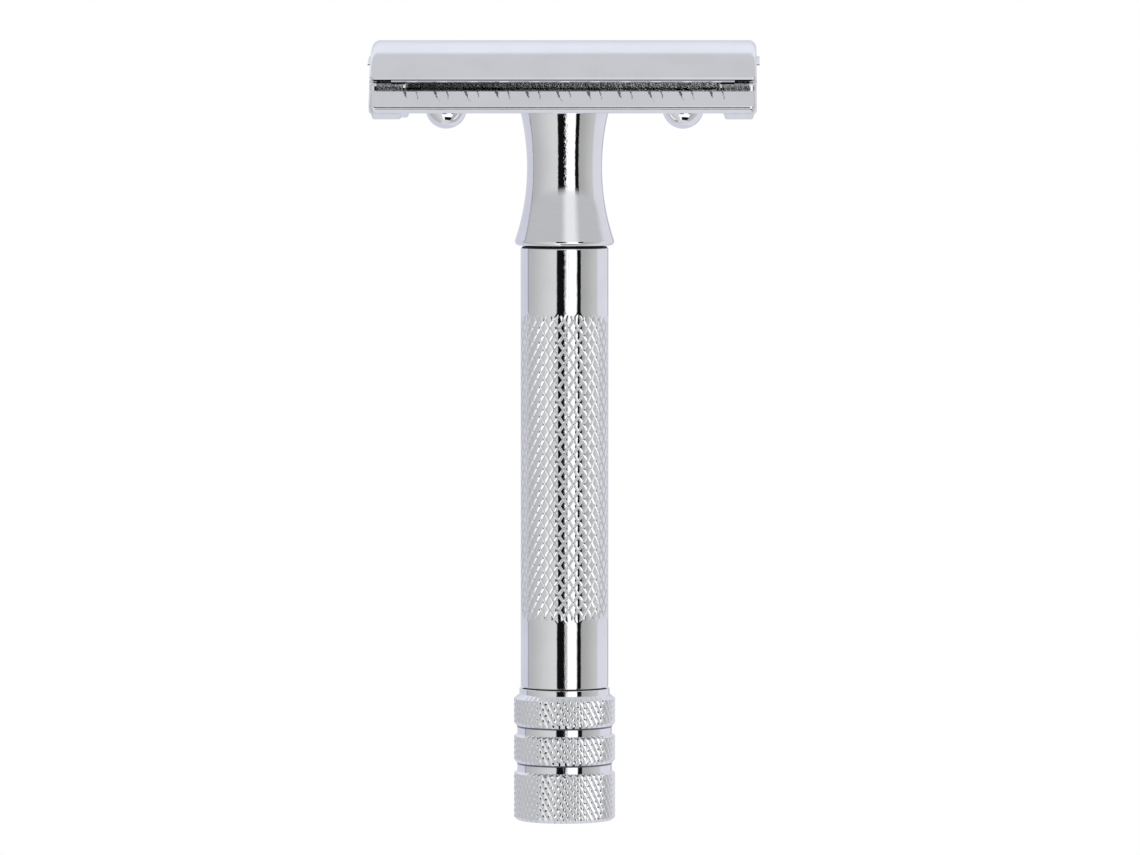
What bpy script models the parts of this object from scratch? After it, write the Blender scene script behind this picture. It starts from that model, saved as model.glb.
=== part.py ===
"""A double-edge safety razor with a twist knob, built piece by piece as it goes together.

The origin is the centre of the knob's foot. +Z runs up the handle, +X along the blade and -Y faces
the front guard bar. Turning the knob turns a rod and nut inside the handle, and the nut draws the
cap's threaded stud down, so that the cap clamps the blade on the base plate.
"""

import math

import bmesh
import bpy
from mathutils import Matrix, Vector

MM = 0.001

# Fits between pieces
SEAT_GAP = 0.05 * MM  # pressed, seated or bonded faces
RUNNING_GAP = 0.1 * MM  # round pieces that turn in each other
PIN_PLAY = 0.15 * MM  # a locating pin in its hole
THREAD_PLAY = 0.1 * MM  # between the flanks of the stud and the nut

# Knob, turned from one bar with three gripping rings
KNOB_RING_RADIUS = 5.6 * MM
KNOB_LOWER_RING = 5.2 * MM
KNOB_MIDDLE_RING = 2.8 * MM
KNOB_UPPER_RING = 2.85 * MM
KNOB_GROOVE_RADIUS = 5.24 * MM
KNOB_GROOVE_WIDTH = 1.3 * MM
KNOB_GROOVE_FLOOR = 0.8 * MM
KNOB_FOOT_CHAMFER = 0.35 * MM
KNOB_COLLAR_RADIUS = 5.0 * MM
KNOB_COLLAR_HEIGHT = 0.65 * MM
KNOB_SHOULDER_HEIGHT = 0.5 * MM
KNOB_PILOT_LENGTH = 5.0 * MM
KNOB_BORE_DEPTH = 13.5 * MM
KNOB_LINE_GAP = 0.15 * MM  # the dark line between the knob and the tube

# Handle tube
TUBE_RADIUS = 4.85 * MM
TUBE_BORE_RADIUS = 3.8 * MM
TUBE_LENGTH = 48.65 * MM
TUBE_END_CHAMFER = 0.2 * MM

# Thrust washer, sunk into the top of the knob
WASHER_RADIUS = 4.3 * MM
WASHER_THICKNESS = 0.4 * MM

# Neck, waisted between the tube and the base plate
NECK_LENGTH = 14.7 * MM
NECK_RIM_RADIUS = 5.46 * MM
NECK_RIM_ROUND = 0.45 * MM
NECK_WAIST_RADIUS = 4.14 * MM
NECK_WAIST_HEIGHT = 8.6 * MM
NECK_LOWER_ARC = 25.0 * MM
NECK_UPPER_ARC = 26.0 * MM
NECK_SPIGOT_LENGTH = 6.0 * MM
NECK_SHOULDER_HEIGHT = 3.0 * MM  # inner shoulder that the draw nut sits on
NECK_RIVET_RADIUS = 3.95 * MM  # upper end, passed through the base plate
NECK_RIVET_HEIGHT = 1.7 * MM

# Draw rod and draw nut
ROD_RADIUS = 2.0 * MM
NUT_RADIUS = 3.25 * MM
NUT_LENGTH = 12.4 * MM
NUT_SOCKET_DEPTH = 4.0 * MM
CROSS_PIN_RADIUS = 0.75 * MM
CROSS_PIN_HEIGHT = 2.6 * MM  # above the knob's collar

# Cap stud and its thread
STUD_RADIUS = 2.5 * MM
THREAD_PITCH = 0.8 * MM
THREAD_DEPTH = 0.49 * MM
THREAD_TURNS_ENGAGED = 8
STUD_LEAD_TURNS = 1.5  # thread above the nut's mouth
STUD_SHANK_RADIUS = 1.6 * MM
THREAD_STEPS = 20

# Blade, a standard one, bent over the base plate
BLADE_LENGTH = 42.9 * MM
BLADE_WIDTH = 22.1 * MM
BLADE_THICKNESS = 0.1 * MM
BLADE_BEND_RADIUS = 22.0 * MM
BLADE_EDGE_ABOVE_BAR = 1.03 * MM
BLADE_CORNER_LENGTH = 2.75 * MM
BLADE_CORNER_DEPTH = 4.4 * MM
BLADE_SLOT_END = 2.85 * MM  # steel left at each end of the slot
BLADE_SLOT_WIDTH = 3.0 * MM
BLADE_WINDOW_STRETCH = 1.45 * MM  # each way along a pin's window, past the pin's play
BLADE_PLAY = 0.35 * MM  # round the stud boss and the pins
BLADE_HALF_ANGLE = BLADE_WIDTH / 2 / BLADE_BEND_RADIUS
BLADE_HALF_CHORD = BLADE_BEND_RADIUS * math.sin(BLADE_HALF_ANGLE)

# Base plate with its two guard bars, sized from the blade
PLATE_INSET = 0.35 * MM  # each end, inside the blade's end
GUARD_REACH = 2.109 * MM  # guard bar in front of the blade's edge
PLATE_CORNER = 1.2 * MM
PLATE_FLOOR = 1.1 * MM
PLATE_END_BLOCK = 3.7 * MM
BAR_LOWER_LIP = 0.55 * MM
BAR_UNDERCUT = 0.5 * MM
BAR_FACE_HEIGHT = 1.85 * MM
BAR_FACE_RUN = 1.3 * MM
BAR_TOP_LAND = 0.5 * MM
HUMP_SETBACK = 1.291 * MM  # hump behind the blade's edge
LIP_RADIUS = 0.5 * MM
FOOT_DROP = 0.65 * MM
FOOT_LENGTH = 3.75 * MM
FOOT_DEPTH = 3.5 * MM
FOOT_SETBACK = 0.1 * MM
POCKET_WALL = 0.8 * MM
POCKET_END_WALL = 1.1 * MM
POCKET_HEIGHT = 3.3 * MM
LATHER_SLOTS = 4
LATHER_SLOT_WIDTH = 1.2 * MM
LATHER_RIB = 1.3 * MM
PLATE_LENGTH = BLADE_LENGTH - 2 * PLATE_INSET
PLATE_DEPTH = 2 * (BLADE_HALF_CHORD + GUARD_REACH)
PLATE_CHANNEL_HALF_LENGTH = PLATE_LENGTH / 2 - PLATE_END_BLOCK
HUMP_HALF_DEPTH = BLADE_HALF_CHORD - HUMP_SETBACK
POCKET_HALF_LENGTH = PLATE_CHANNEL_HALF_LENGTH - POCKET_END_WALL
POCKET_HALF_DEPTH = HUMP_HALF_DEPTH - POCKET_WALL
LATHER_SLOT_PITCH = (2 * PLATE_CHANNEL_HALF_LENGTH - LATHER_RIB / 2) / LATHER_SLOTS
LATHER_SLOT_LENGTH = LATHER_SLOT_PITCH - LATHER_RIB

# Scallops across each guard bar
SCALLOPS = 11
SCALLOP_PITCH = 2 * PLATE_CHANNEL_HALF_LENGTH / 10.45
SCALLOP_RADIUS = 1.4 * MM
SCALLOP_DEPTH = 0.28 * MM
SCALLOP_RUN_OUT = math.radians(9.5)
SCALLOP_SKEW = math.radians(16)

# Cap, sized from the blade
CAP_INSET = 0.35 * MM  # each end, inside the blade's end
BLADE_EXPOSURE = 0.291 * MM  # blade's edge in front of the cap's
CAP_CROWN = 1.75 * MM  # thickness at the middle
CAP_EDGE = 0.3 * MM  # thickness at the front and back edges
CAP_CORNER = 1.6 * MM  # rounding seen from above
CAP_END_ROUND = 0.8 * MM  # rounding seen from the front
CAP_BOSS_RADIUS = 2.8 * MM
CAP_BOSS_LENGTH = 1.0 * MM
CAP_SOCKET_DEPTH = 0.7 * MM
CAP_LENGTH = BLADE_LENGTH - 2 * CAP_INSET
CAP_HALF_CHORD = BLADE_HALF_CHORD - BLADE_EXPOSURE

# Locating pins
PIN_RADIUS = 2.18 * MM
PIN_FROM_END = 8.4 * MM  # from the blade's end to the pin's middle
PIN_DROP = 1.95 * MM  # below the guard bars' underside
PIN_SHANK_RADIUS = 1.2 * MM
PIN_SPACING = BLADE_LENGTH - 2 * PIN_FROM_END

# Stock left at the ends and trimmed off
TRIM = 1.0 * MM

# Fineness of round shapes
TURN_STEPS = 36
SMALL_STEPS = 24
ARC_POINTS = 16
CORNER_POINTS = 5

# Levels along the handle, from the foot up
KNOB_TOP = (
    KNOB_LOWER_RING + KNOB_MIDDLE_RING + KNOB_UPPER_RING + 2 * KNOB_GROOVE_WIDTH
    + KNOB_SHOULDER_HEIGHT + KNOB_COLLAR_HEIGHT
)
TUBE_BOTTOM = KNOB_TOP + KNOB_LINE_GAP
TUBE_TOP = TUBE_BOTTOM + TUBE_LENGTH
NECK_BOTTOM = TUBE_TOP + SEAT_GAP
PLATE_BOTTOM = NECK_BOTTOM + NECK_LENGTH
BAR_TOP = PLATE_BOTTOM + BAR_LOWER_LIP + BAR_FACE_HEIGHT
POCKET_CEILING = PLATE_BOTTOM + POCKET_HEIGHT
NECK_TOP = POCKET_CEILING - SEAT_GAP

# The blade's bend: one centre for the blade, the plate's hump and the underside of the cap
BEND_CENTRE = BAR_TOP + BLADE_EDGE_ABOVE_BAR - BLADE_BEND_RADIUS * math.cos(BLADE_HALF_ANGLE)
HUMP_RADIUS = BLADE_BEND_RADIUS - BLADE_THICKNESS / 2 - SEAT_GAP
CAP_INNER_RADIUS = BLADE_BEND_RADIUS + BLADE_THICKNESS / 2 + SEAT_GAP
CAP_UNDERSIDE = BEND_CENTRE + CAP_INNER_RADIUS
CAP_TOP = CAP_UNDERSIDE + CAP_CROWN

# The draw nut sits on the neck's inner shoulder, and the stud stands in the nut
NUT_BOTTOM = NECK_BOTTOM + NECK_SHOULDER_HEIGHT + SEAT_GAP
NUT_TOP = NUT_BOTTOM + NUT_LENGTH
ROD_BOTTOM = KNOB_TOP + KNOB_PILOT_LENGTH - KNOB_BORE_DEPTH + SEAT_GAP
ROD_TOP = NUT_BOTTOM + NUT_SOCKET_DEPTH - SEAT_GAP
STUD_TIP = NUT_TOP - THREAD_TURNS_ENGAGED * THREAD_PITCH
BOSS_BOTTOM = CAP_UNDERSIDE - CAP_BOSS_LENGTH
NECK_BORE_RADIUS = NUT_RADIUS + RUNNING_GAP


def clear_scene():
    for obj in list(bpy.data.objects):
        bpy.data.objects.remove(obj)


def collection(name):
    made = bpy.data.collections.new(name)
    bpy.context.scene.collection.children.link(made)
    return made


def material(name, colour, roughness, metallic):
    made = bpy.data.materials.new(name)
    made.use_nodes = True
    shader = made.node_tree.nodes["Principled BSDF"]
    shader.inputs["Base Color"].default_value = (*colour, 1.0)
    shader.inputs["Roughness"].default_value = roughness
    shader.inputs["Metallic"].default_value = metallic
    return made


clear_scene()
RAZOR = collection("safety_razor")
CUTTERS = collection("cutters")
CHROME = material("chrome_plate", (0.80, 0.81, 0.83), 0.08, 1.0)
KNURLED_CHROME = material("knurled_chrome", (0.78, 0.79, 0.81), 0.16, 1.0)
BRASS = material("brass", (0.72, 0.55, 0.28), 0.3, 1.0)
STEEL = material("steel", (0.62, 0.63, 0.65), 0.25, 1.0)
BLADE_STEEL = material("blade_steel", (0.70, 0.71, 0.74), 0.18, 1.0)


def frame(name):
    """An empty that carries the pieces of one moving group."""
    empty = bpy.data.objects.new(name, None)
    RAZOR.objects.link(empty)
    return empty


HANDLE = frame("handle_frame")
KNOB_AXIS = frame("knob_axis")
BLADE_SLIDE = frame("blade_slide")
CAP_SLIDE = frame("cap_slide")


def finished(obj, finish, parent):
    """Makes a mesh object one of the razor's pieces, carried by parent."""
    RAZOR.objects.link(obj)
    obj.data.materials.append(finish)
    obj.data.shade_smooth()
    obj.data.set_sharp_from_angle(angle=math.radians(35))
    obj.parent = parent
    return obj


def helper(obj):
    """Makes a mesh object a cutter: it shapes pieces and isn't one itself."""
    CUTTERS.objects.link(obj)
    obj.hide_render = True
    obj.display_type = "WIRE"
    return obj


def cut(piece, cutter, operation="DIFFERENCE"):
    modifier = piece.modifiers.new(operation.lower() + "_" + cutter.name, "BOOLEAN")
    modifier.operation = operation
    modifier.object = cutter


def from_bmesh(name, shape):
    bmesh.ops.recalc_face_normals(shape, faces=shape.faces)
    mesh = bpy.data.meshes.new(name)
    shape.to_mesh(mesh)
    shape.free()
    return bpy.data.objects.new(name, mesh)


def turned(name, profile, base, steps=TURN_STEPS, closed=False):
    """A turned shape. The profile's (radius, height) points run down the outer side."""
    shape = bmesh.new()
    points = [shape.verts.new((radius, 0, height)) for radius, height in profile]
    for first, second in zip(points, points[1:]):
        shape.edges.new((first, second))
    if closed:
        shape.edges.new((points[-1], points[0]))
    mesh = bpy.data.meshes.new(name)
    shape.to_mesh(mesh)
    shape.free()
    obj = bpy.data.objects.new(name, mesh)
    obj.location.z = base
    screw = obj.modifiers.new("turn", "SCREW")
    screw.steps = steps
    screw.render_steps = steps
    screw.use_merge_vertices = True
    screw.merge_threshold = 0.001 * MM
    return obj


def rod_between(name, radius, start, end, steps=SMALL_STEPS):
    """A plain round bar between two points."""
    shape = bmesh.new()
    add_bar(shape, radius, Vector(start), Vector(end), steps)
    return from_bmesh(name, shape)


def add_bar(shape, radius, start, end, steps):
    along = end - start
    place = Matrix.Translation((start + end) / 2) @ along.to_track_quat("Z", "Y").to_matrix().to_4x4()
    bmesh.ops.create_cone(
        shape, cap_ends=True, segments=steps, radius1=radius, radius2=radius,
        depth=along.length, matrix=place,
    )


def add_box(shape, low, high):
    low, high = Vector(low), Vector(high)
    place = Matrix.Translation((low + high) / 2) @ Matrix.Diagonal((*(high - low), 1))
    bmesh.ops.create_cube(shape, size=1, matrix=place)


def prism(name, outline, length, axes):
    """A flat outline made solid, centred on the origin. axes turns the outline's frame to the world's."""
    curve = bpy.data.curves.new(name, "CURVE")
    curve.dimensions = "2D"
    curve.fill_mode = "BOTH"
    curve.extrude = length / 2
    spline = curve.splines.new("POLY")
    spline.points.add(len(outline) - 1)
    for point, (across, up) in zip(spline.points, outline):
        point.co = (across, up, 0, 1)
    spline.use_cyclic_u = True
    flat = bpy.data.objects.new(name + "_outline", curve)
    CUTTERS.objects.link(flat)
    flat.matrix_world = axes
    bpy.context.view_layer.update()
    graph = bpy.context.evaluated_depsgraph_get()
    mesh = bpy.data.meshes.new_from_object(flat.evaluated_get(graph))
    shape = bmesh.new()
    shape.from_mesh(mesh)
    bmesh.ops.remove_doubles(shape, verts=shape.verts, dist=0.001 * MM)
    obj = from_bmesh(name, shape)
    obj.matrix_world = flat.matrix_world
    bpy.data.objects.remove(flat)
    bpy.data.meshes.remove(mesh)
    return obj


ALONG_X = Matrix(((0, 0, 1, 0), (1, 0, 0, 0), (0, 1, 0, 0), (0, 0, 0, 1)))  # outline in Y and Z
ALONG_Y = Matrix(((1, 0, 0, 0), (0, 0, -1, 0), (0, 1, 0, 0), (0, 0, 0, 1)))  # outline in X and Z
ALONG_Z = Matrix.Identity(4)  # outline in X and Y


def arc(centre, radius, start, end, points):
    """Points of an arc from one angle to another, in the outline's own axes."""
    angles = [start + (end - start) * i / (points - 1) for i in range(points)]
    return [(centre[0] + radius * math.cos(a), centre[1] + radius * math.sin(a)) for a in angles]


def rounded_rectangle(half_width, half_depth, corner):
    outline = []
    for quarter in range(4):
        side = (1, -1, -1, 1)[quarter]
        end = (1, 1, -1, -1)[quarter]
        centre = (side * (half_width - corner), end * (half_depth - corner))
        start = quarter * math.pi / 2
        outline += arc(centre, corner, start, start + math.pi / 2, CORNER_POINTS)
    return outline


def bent_height(radius, across):
    """Height of a surface of the blade's bend at a distance from the middle."""
    return BEND_CENTRE + math.sqrt(radius**2 - across**2)


def bent_arc(radius, half_depth):
    """The bend's (across, height) points from back to front."""
    half = math.asin(half_depth / radius)
    return arc((0, BEND_CENTRE), radius, math.pi / 2 - half, math.pi / 2 + half, ARC_POINTS)


# Knob and what turns with it


def knob():
    ring = KNOB_RING_RADIUS
    flank = (KNOB_GROOVE_WIDTH - KNOB_GROOVE_FLOOR) / 2
    pilot = TUBE_BORE_RADIUS - RUNNING_GAP
    recess = KNOB_TOP - WASHER_THICKNESS - 2 * SEAT_GAP + KNOB_LINE_GAP
    bore_bottom = KNOB_TOP + KNOB_PILOT_LENGTH - KNOB_BORE_DEPTH
    pilot_top = KNOB_TOP + KNOB_PILOT_LENGTH
    profile = [
        (0, bore_bottom),
        (ROD_RADIUS + SEAT_GAP, bore_bottom),
        (ROD_RADIUS + SEAT_GAP, pilot_top),
        (pilot, pilot_top),
        (pilot, recess),
        (WASHER_RADIUS + SEAT_GAP, recess),
        (WASHER_RADIUS + SEAT_GAP, KNOB_TOP),
        (KNOB_COLLAR_RADIUS, KNOB_TOP),
    ]
    level = KNOB_TOP - KNOB_COLLAR_HEIGHT
    profile.append((KNOB_COLLAR_RADIUS, level))
    level -= KNOB_SHOULDER_HEIGHT
    for height in (KNOB_UPPER_RING, KNOB_MIDDLE_RING):
        profile += [(ring, level), (ring, level - height)]
        level -= height + flank
        profile.append((KNOB_GROOVE_RADIUS, level))
        level -= KNOB_GROOVE_FLOOR
        profile.append((KNOB_GROOVE_RADIUS, level))
        level -= flank
    profile += [(ring, level), (ring, KNOB_FOOT_CHAMFER), (ring - KNOB_FOOT_CHAMFER, 0), (0, 0)]
    obj = turned("knob", profile, 0)
    cut(obj, CROSS_HOLE)
    return finished(obj, KNURLED_CHROME, KNOB_AXIS)


def cross_hole():
    """The hole through the knob's pilot and the rod, for the cross pin."""
    level = KNOB_TOP + CROSS_PIN_HEIGHT
    reach = TUBE_RADIUS
    hole = rod_between(
        "cross_hole", CROSS_PIN_RADIUS + SEAT_GAP, (-reach, 0, level), (reach, 0, level)
    )
    return helper(hole)


def cross_pin():
    level = KNOB_TOP + CROSS_PIN_HEIGHT
    reach = TUBE_BORE_RADIUS - 2 * RUNNING_GAP
    obj = rod_between("knob_cross_pin", CROSS_PIN_RADIUS, (-reach, 0, level), (reach, 0, level))
    return finished(obj, STEEL, KNOB_AXIS)


def draw_rod():
    chamfer = 0.3 * ROD_RADIUS
    length = ROD_TOP - ROD_BOTTOM
    profile = [
        (0, length),
        (ROD_RADIUS - chamfer, length),
        (ROD_RADIUS, length - chamfer),
        (ROD_RADIUS, chamfer),
        (ROD_RADIUS - chamfer, 0),
        (0, 0),
    ]
    obj = turned("draw_rod", profile, ROD_BOTTOM, SMALL_STEPS)
    cut(obj, CROSS_HOLE)
    return finished(obj, STEEL, KNOB_AXIS)


def threaded_bar(name, bottom, top, core, grow):
    """A bar with the stud's thread, flat at both ends. grow makes the thread thicker all round."""
    crest = STUD_RADIUS + grow
    flank = math.tan(math.radians(30))
    crest_half = THREAD_PITCH / 16 + grow / math.cos(math.radians(30)) - grow * flank
    core_half = crest_half + (crest - core) * flank
    section = [
        (core, -core_half),
        (crest, -crest_half),
        (crest, crest_half),
        (core, core_half),
        (core, THREAD_PITCH - core_half),
    ]
    turns_below = math.ceil((STUD_TIP - bottom) / THREAD_PITCH) + 2
    turns = turns_below + math.ceil((top - STUD_TIP) / THREAD_PITCH) + 1
    start = STUD_TIP - turns_below * THREAD_PITCH
    shape = bmesh.new()
    points = [shape.verts.new((radius, 0, start + height)) for radius, height in section]
    edges = [shape.edges.new(pair) for pair in zip(points, points[1:])]
    bmesh.ops.spin(
        shape, geom=points + edges, cent=(0, 0, 0), axis=(0, 0, 1), steps=turns * THREAD_STEPS,
        dvec=(0, 0, THREAD_PITCH / THREAD_STEPS), angle=math.tau * turns,
    )
    bmesh.ops.remove_doubles(shape, verts=shape.verts, dist=0.001 * MM)
    for level, side in ((bottom, -1), (top, 1)):
        everything = shape.verts[:] + shape.edges[:] + shape.faces[:]
        bmesh.ops.bisect_plane(
            shape, geom=everything, plane_co=(0, 0, level), plane_no=(0, 0, side), clear_outer=True
        )
    bmesh.ops.holes_fill(shape, edges=[edge for edge in shape.edges if edge.is_boundary])
    return from_bmesh(name, shape)


def draw_nut():
    profile = [
        (0, NUT_LENGTH),
        (NUT_RADIUS, NUT_LENGTH),
        (NUT_RADIUS, 0),
        (ROD_RADIUS + SEAT_GAP, 0),
        (ROD_RADIUS + SEAT_GAP, NUT_SOCKET_DEPTH),
        (0, NUT_SOCKET_DEPTH),
    ]
    obj = turned("draw_nut", profile, NUT_BOTTOM, SMALL_STEPS)
    minor = STUD_RADIUS - THREAD_DEPTH + THREAD_PLAY + SEAT_GAP
    hole = threaded_bar("nut_thread", ROD_TOP, NUT_TOP + THREAD_PITCH, minor, THREAD_PLAY)
    cut(obj, helper(hole))
    return finished(obj, BRASS, KNOB_AXIS)


# Handle: tube, washer, neck and base plate


def handle_tube():
    chamfer = TUBE_END_CHAMFER
    profile = [
        (TUBE_BORE_RADIUS, TUBE_LENGTH),
        (TUBE_RADIUS - chamfer, TUBE_LENGTH),
        (TUBE_RADIUS, TUBE_LENGTH - chamfer),
        (TUBE_RADIUS, chamfer),
        (TUBE_RADIUS - chamfer, 0),
        (TUBE_BORE_RADIUS, 0),
    ]
    obj = turned("handle_tube", profile, TUBE_BOTTOM, closed=True)
    return finished(obj, KNURLED_CHROME, HANDLE)


def thrust_washer():
    bore = TUBE_BORE_RADIUS - RUNNING_GAP + SEAT_GAP
    profile = [
        (bore, WASHER_THICKNESS),
        (WASHER_RADIUS, WASHER_THICKNESS),
        (WASHER_RADIUS, 0),
        (bore, 0),
    ]
    base = TUBE_BOTTOM - SEAT_GAP - WASHER_THICKNESS
    obj = turned("thrust_washer", profile, base, closed=True)
    return finished(obj, BRASS, HANDLE)


def neck_radius(height):
    """Outer radius of the neck at a height above its rim."""
    rise = height - NECK_WAIST_HEIGHT
    bend = NECK_UPPER_ARC if rise > 0 else NECK_LOWER_ARC
    return NECK_WAIST_RADIUS + bend - math.sqrt(bend**2 - rise**2)


def neck():
    top = NECK_TOP - NECK_BOTTOM
    rivet_top = top + NECK_RIVET_HEIGHT
    spigot = TUBE_BORE_RADIUS - SEAT_GAP
    rod_hole = ROD_RADIUS + RUNNING_GAP
    rise = NECK_RIM_RADIUS - NECK_WAIST_RADIUS
    rim_top = NECK_WAIST_HEIGHT - math.sqrt(NECK_LOWER_ARC**2 - (NECK_LOWER_ARC - rise) ** 2)
    heights = [NECK_LENGTH + (rim_top - NECK_LENGTH) * i / (ARC_POINTS - 1) for i in range(ARC_POINTS)]
    rim_centre = (NECK_RIM_RADIUS - NECK_RIM_ROUND, NECK_RIM_ROUND)
    profile = [
        (NECK_BORE_RADIUS, rivet_top),
        (NECK_RIVET_RADIUS, rivet_top),
        (NECK_RIVET_RADIUS, top),
        (neck_radius(NECK_LENGTH), top),
    ]
    profile += [(neck_radius(height), height) for height in heights]
    profile += arc(rim_centre, NECK_RIM_ROUND, 0, -math.pi / 2, CORNER_POINTS)
    profile += [
        (spigot, 0),
        (spigot, -NECK_SPIGOT_LENGTH),
        (rod_hole, -NECK_SPIGOT_LENGTH),
        (rod_hole, NECK_SHOULDER_HEIGHT),
        (NECK_BORE_RADIUS, NECK_SHOULDER_HEIGHT),
    ]
    obj = turned("neck", profile, NECK_BOTTOM, closed=True)
    return finished(obj, CHROME, HANDLE)


def plate_section():
    """The base plate's (depth, height) outline at its ends, where the end blocks fill it."""
    front = PLATE_DEPTH / 2
    top = front - BAR_FACE_RUN
    inner = top - BAR_TOP_LAND
    lip_centre = (inner - LIP_RADIUS, BAR_TOP + LIP_RADIUS)
    lip = arc(lip_centre, LIP_RADIUS, -math.pi / 4, math.pi / 2, CORNER_POINTS)
    hump = bent_arc(HUMP_RADIUS, lip_centre[0] - LIP_RADIUS)
    half = [
        (front - BAR_UNDERCUT, PLATE_BOTTOM),
        (front, PLATE_BOTTOM + BAR_LOWER_LIP),
        (top, BAR_TOP),
        (inner, BAR_TOP),
    ]
    half += lip
    mirrored = [(-depth, height) for depth, height in reversed(half)]
    return half + hump + mirrored


def scallop_cutter():
    """Round grooves across both guard bars, slanted the same way as each bar is faced."""
    front = PLATE_DEPTH / 2
    face = Vector((0, -BAR_FACE_RUN, -BAR_FACE_HEIGHT)).normalized()
    out = Vector((0, -BAR_FACE_HEIGHT, BAR_FACE_RUN)).normalized()
    down = face * math.cos(SCALLOP_RUN_OUT) + out * math.sin(SCALLOP_RUN_OUT)
    down = down * math.cos(SCALLOP_SKEW) + Vector((1, 0, 0)) * math.sin(SCALLOP_SKEW)
    start = Vector((0, BAR_FACE_RUN - front, BAR_TOP)) + out * (SCALLOP_RADIUS - SCALLOP_DEPTH)
    reach = down * (BAR_FACE_HEIGHT + BAR_FACE_RUN)
    shape = bmesh.new()
    for turn in (Matrix.Identity(3), Matrix.Rotation(math.pi, 3, "Z")):
        for i in range(SCALLOPS):
            along = Vector(((i - (SCALLOPS - 1) / 2) * SCALLOP_PITCH, 0, 0))
            middle = along + start
            add_bar(shape, SCALLOP_RADIUS, turn @ (middle - reach), turn @ (middle + reach), SMALL_STEPS)
    return helper(from_bmesh("scallops", shape))


def plate_hollows():
    """The lather channels and slots, and the pocket under the plate."""
    inner = PLATE_DEPTH / 2 - BAR_FACE_RUN - BAR_TOP_LAND
    middle = (inner + HUMP_HALF_DEPTH) / 2
    half_slot = LATHER_SLOT_WIDTH / 2
    above = CAP_TOP
    floor = PLATE_BOTTOM + PLATE_FLOOR
    below = PLATE_BOTTOM - PLATE_FLOOR
    shape = bmesh.new()
    add_box(
        shape,
        (-POCKET_HALF_LENGTH, -POCKET_HALF_DEPTH, below),
        (POCKET_HALF_LENGTH, POCKET_HALF_DEPTH, POCKET_CEILING),
    )
    slots = bmesh.new()
    for side in (-1, 1):
        near, far = sorted((side * HUMP_HALF_DEPTH, side * inner))
        add_box(shape, (-PLATE_CHANNEL_HALF_LENGTH, near, floor), (PLATE_CHANNEL_HALF_LENGTH, far, above))
        for i in range(LATHER_SLOTS):
            centre = (i - (LATHER_SLOTS - 1) / 2) * LATHER_SLOT_PITCH
            half = LATHER_SLOT_LENGTH / 2
            add_box(
                slots,
                (centre - half, side * middle - half_slot, below),
                (centre + half, side * middle + half_slot, above),
            )
    return helper(from_bmesh("plate_hollows", shape)), helper(from_bmesh("lather_slots", slots))


def plate_bores():
    """The holes for the neck's riveted end and for the two locating pins."""
    shape = bmesh.new()
    low = PLATE_BOTTOM
    high = CAP_TOP
    add_bar(shape, NECK_RIVET_RADIUS + SEAT_GAP, Vector((0, 0, low)), Vector((0, 0, high)), TURN_STEPS)
    for side in (-1, 1):
        across = side * PIN_SPACING / 2
        add_bar(
            shape, PIN_RADIUS + PIN_PLAY, Vector((across, 0, low)), Vector((across, 0, high)), SMALL_STEPS
        )
    return helper(from_bmesh("plate_bores", shape))


def plate_feet():
    """Four small feet under the plate's corners."""
    shape = bmesh.new()
    for side in (-1, 1):
        for end in (-1, 1):
            setback = BAR_UNDERCUT + FOOT_SETBACK
            outer = Vector((side * (PLATE_LENGTH / 2 + TRIM), end * (PLATE_DEPTH / 2 - setback)))
            inner = outer - Vector((side * (FOOT_LENGTH + TRIM), end * FOOT_DEPTH))
            low = (min(outer.x, inner.x), min(outer.y, inner.y), PLATE_BOTTOM - FOOT_DROP)
            high = (max(outer.x, inner.x), max(outer.y, inner.y), PLATE_BOTTOM + PLATE_FLOOR / 2)
            add_box(shape, low, high)
    return helper(from_bmesh("plate_feet", shape))


def base_plate():
    obj = prism("base_plate", plate_section(), PLATE_LENGTH + 2 * TRIM, ALONG_X)
    cut(obj, plate_feet(), "UNION")
    corners = rounded_rectangle(PLATE_LENGTH / 2, PLATE_DEPTH / 2 + PLATE_CORNER / 4, PLATE_CORNER * 1.25)
    cut(obj, helper(prism("plate_corners", corners, 2 * CAP_TOP, ALONG_Z)), "INTERSECT")
    for cutter in plate_hollows():
        cut(obj, cutter)
    cut(obj, plate_bores())
    cut(obj, scallop_cutter())
    return finished(obj, CHROME, HANDLE)


# Blade


def blade_openings():
    """The blade's long slot with its stud hole and pin windows, and its four cut corners."""
    shape = bmesh.new()
    low = BAR_TOP
    high = CAP_TOP
    boss = CAP_BOSS_RADIUS + BLADE_PLAY
    window = PIN_RADIUS + BLADE_PLAY
    add_bar(shape, boss, Vector((0, 0, low)), Vector((0, 0, high)), SMALL_STEPS)
    half_slot = BLADE_LENGTH / 2 - BLADE_SLOT_END
    outline = rounded_rectangle(half_slot, BLADE_SLOT_WIDTH / 2, BLADE_SLOT_WIDTH / 3)
    slot = helper(prism("blade_slot", outline, 2 * high, ALONG_Z))
    windows = []
    for side in (-1, 1):
        outline = rounded_rectangle(window + BLADE_WINDOW_STRETCH, window, window * 0.98)
        place = Matrix.Translation((side * PIN_SPACING / 2, 0, 0))
        windows.append(helper(prism("blade_window", outline, 2 * high, place)))
        for end in (-1, 1):
            outer = Vector((side * BLADE_LENGTH, end * BLADE_WIDTH))
            inner = Vector((
                side * (BLADE_LENGTH / 2 - BLADE_CORNER_LENGTH),
                end * (BLADE_HALF_CHORD - BLADE_CORNER_DEPTH),
            ))
            add_box(
                shape,
                (min(outer.x, inner.x), min(outer.y, inner.y), low),
                (max(outer.x, inner.x), max(outer.y, inner.y), high),
            )
    return [helper(from_bmesh("blade_cuts", shape)), slot, *windows]


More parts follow.
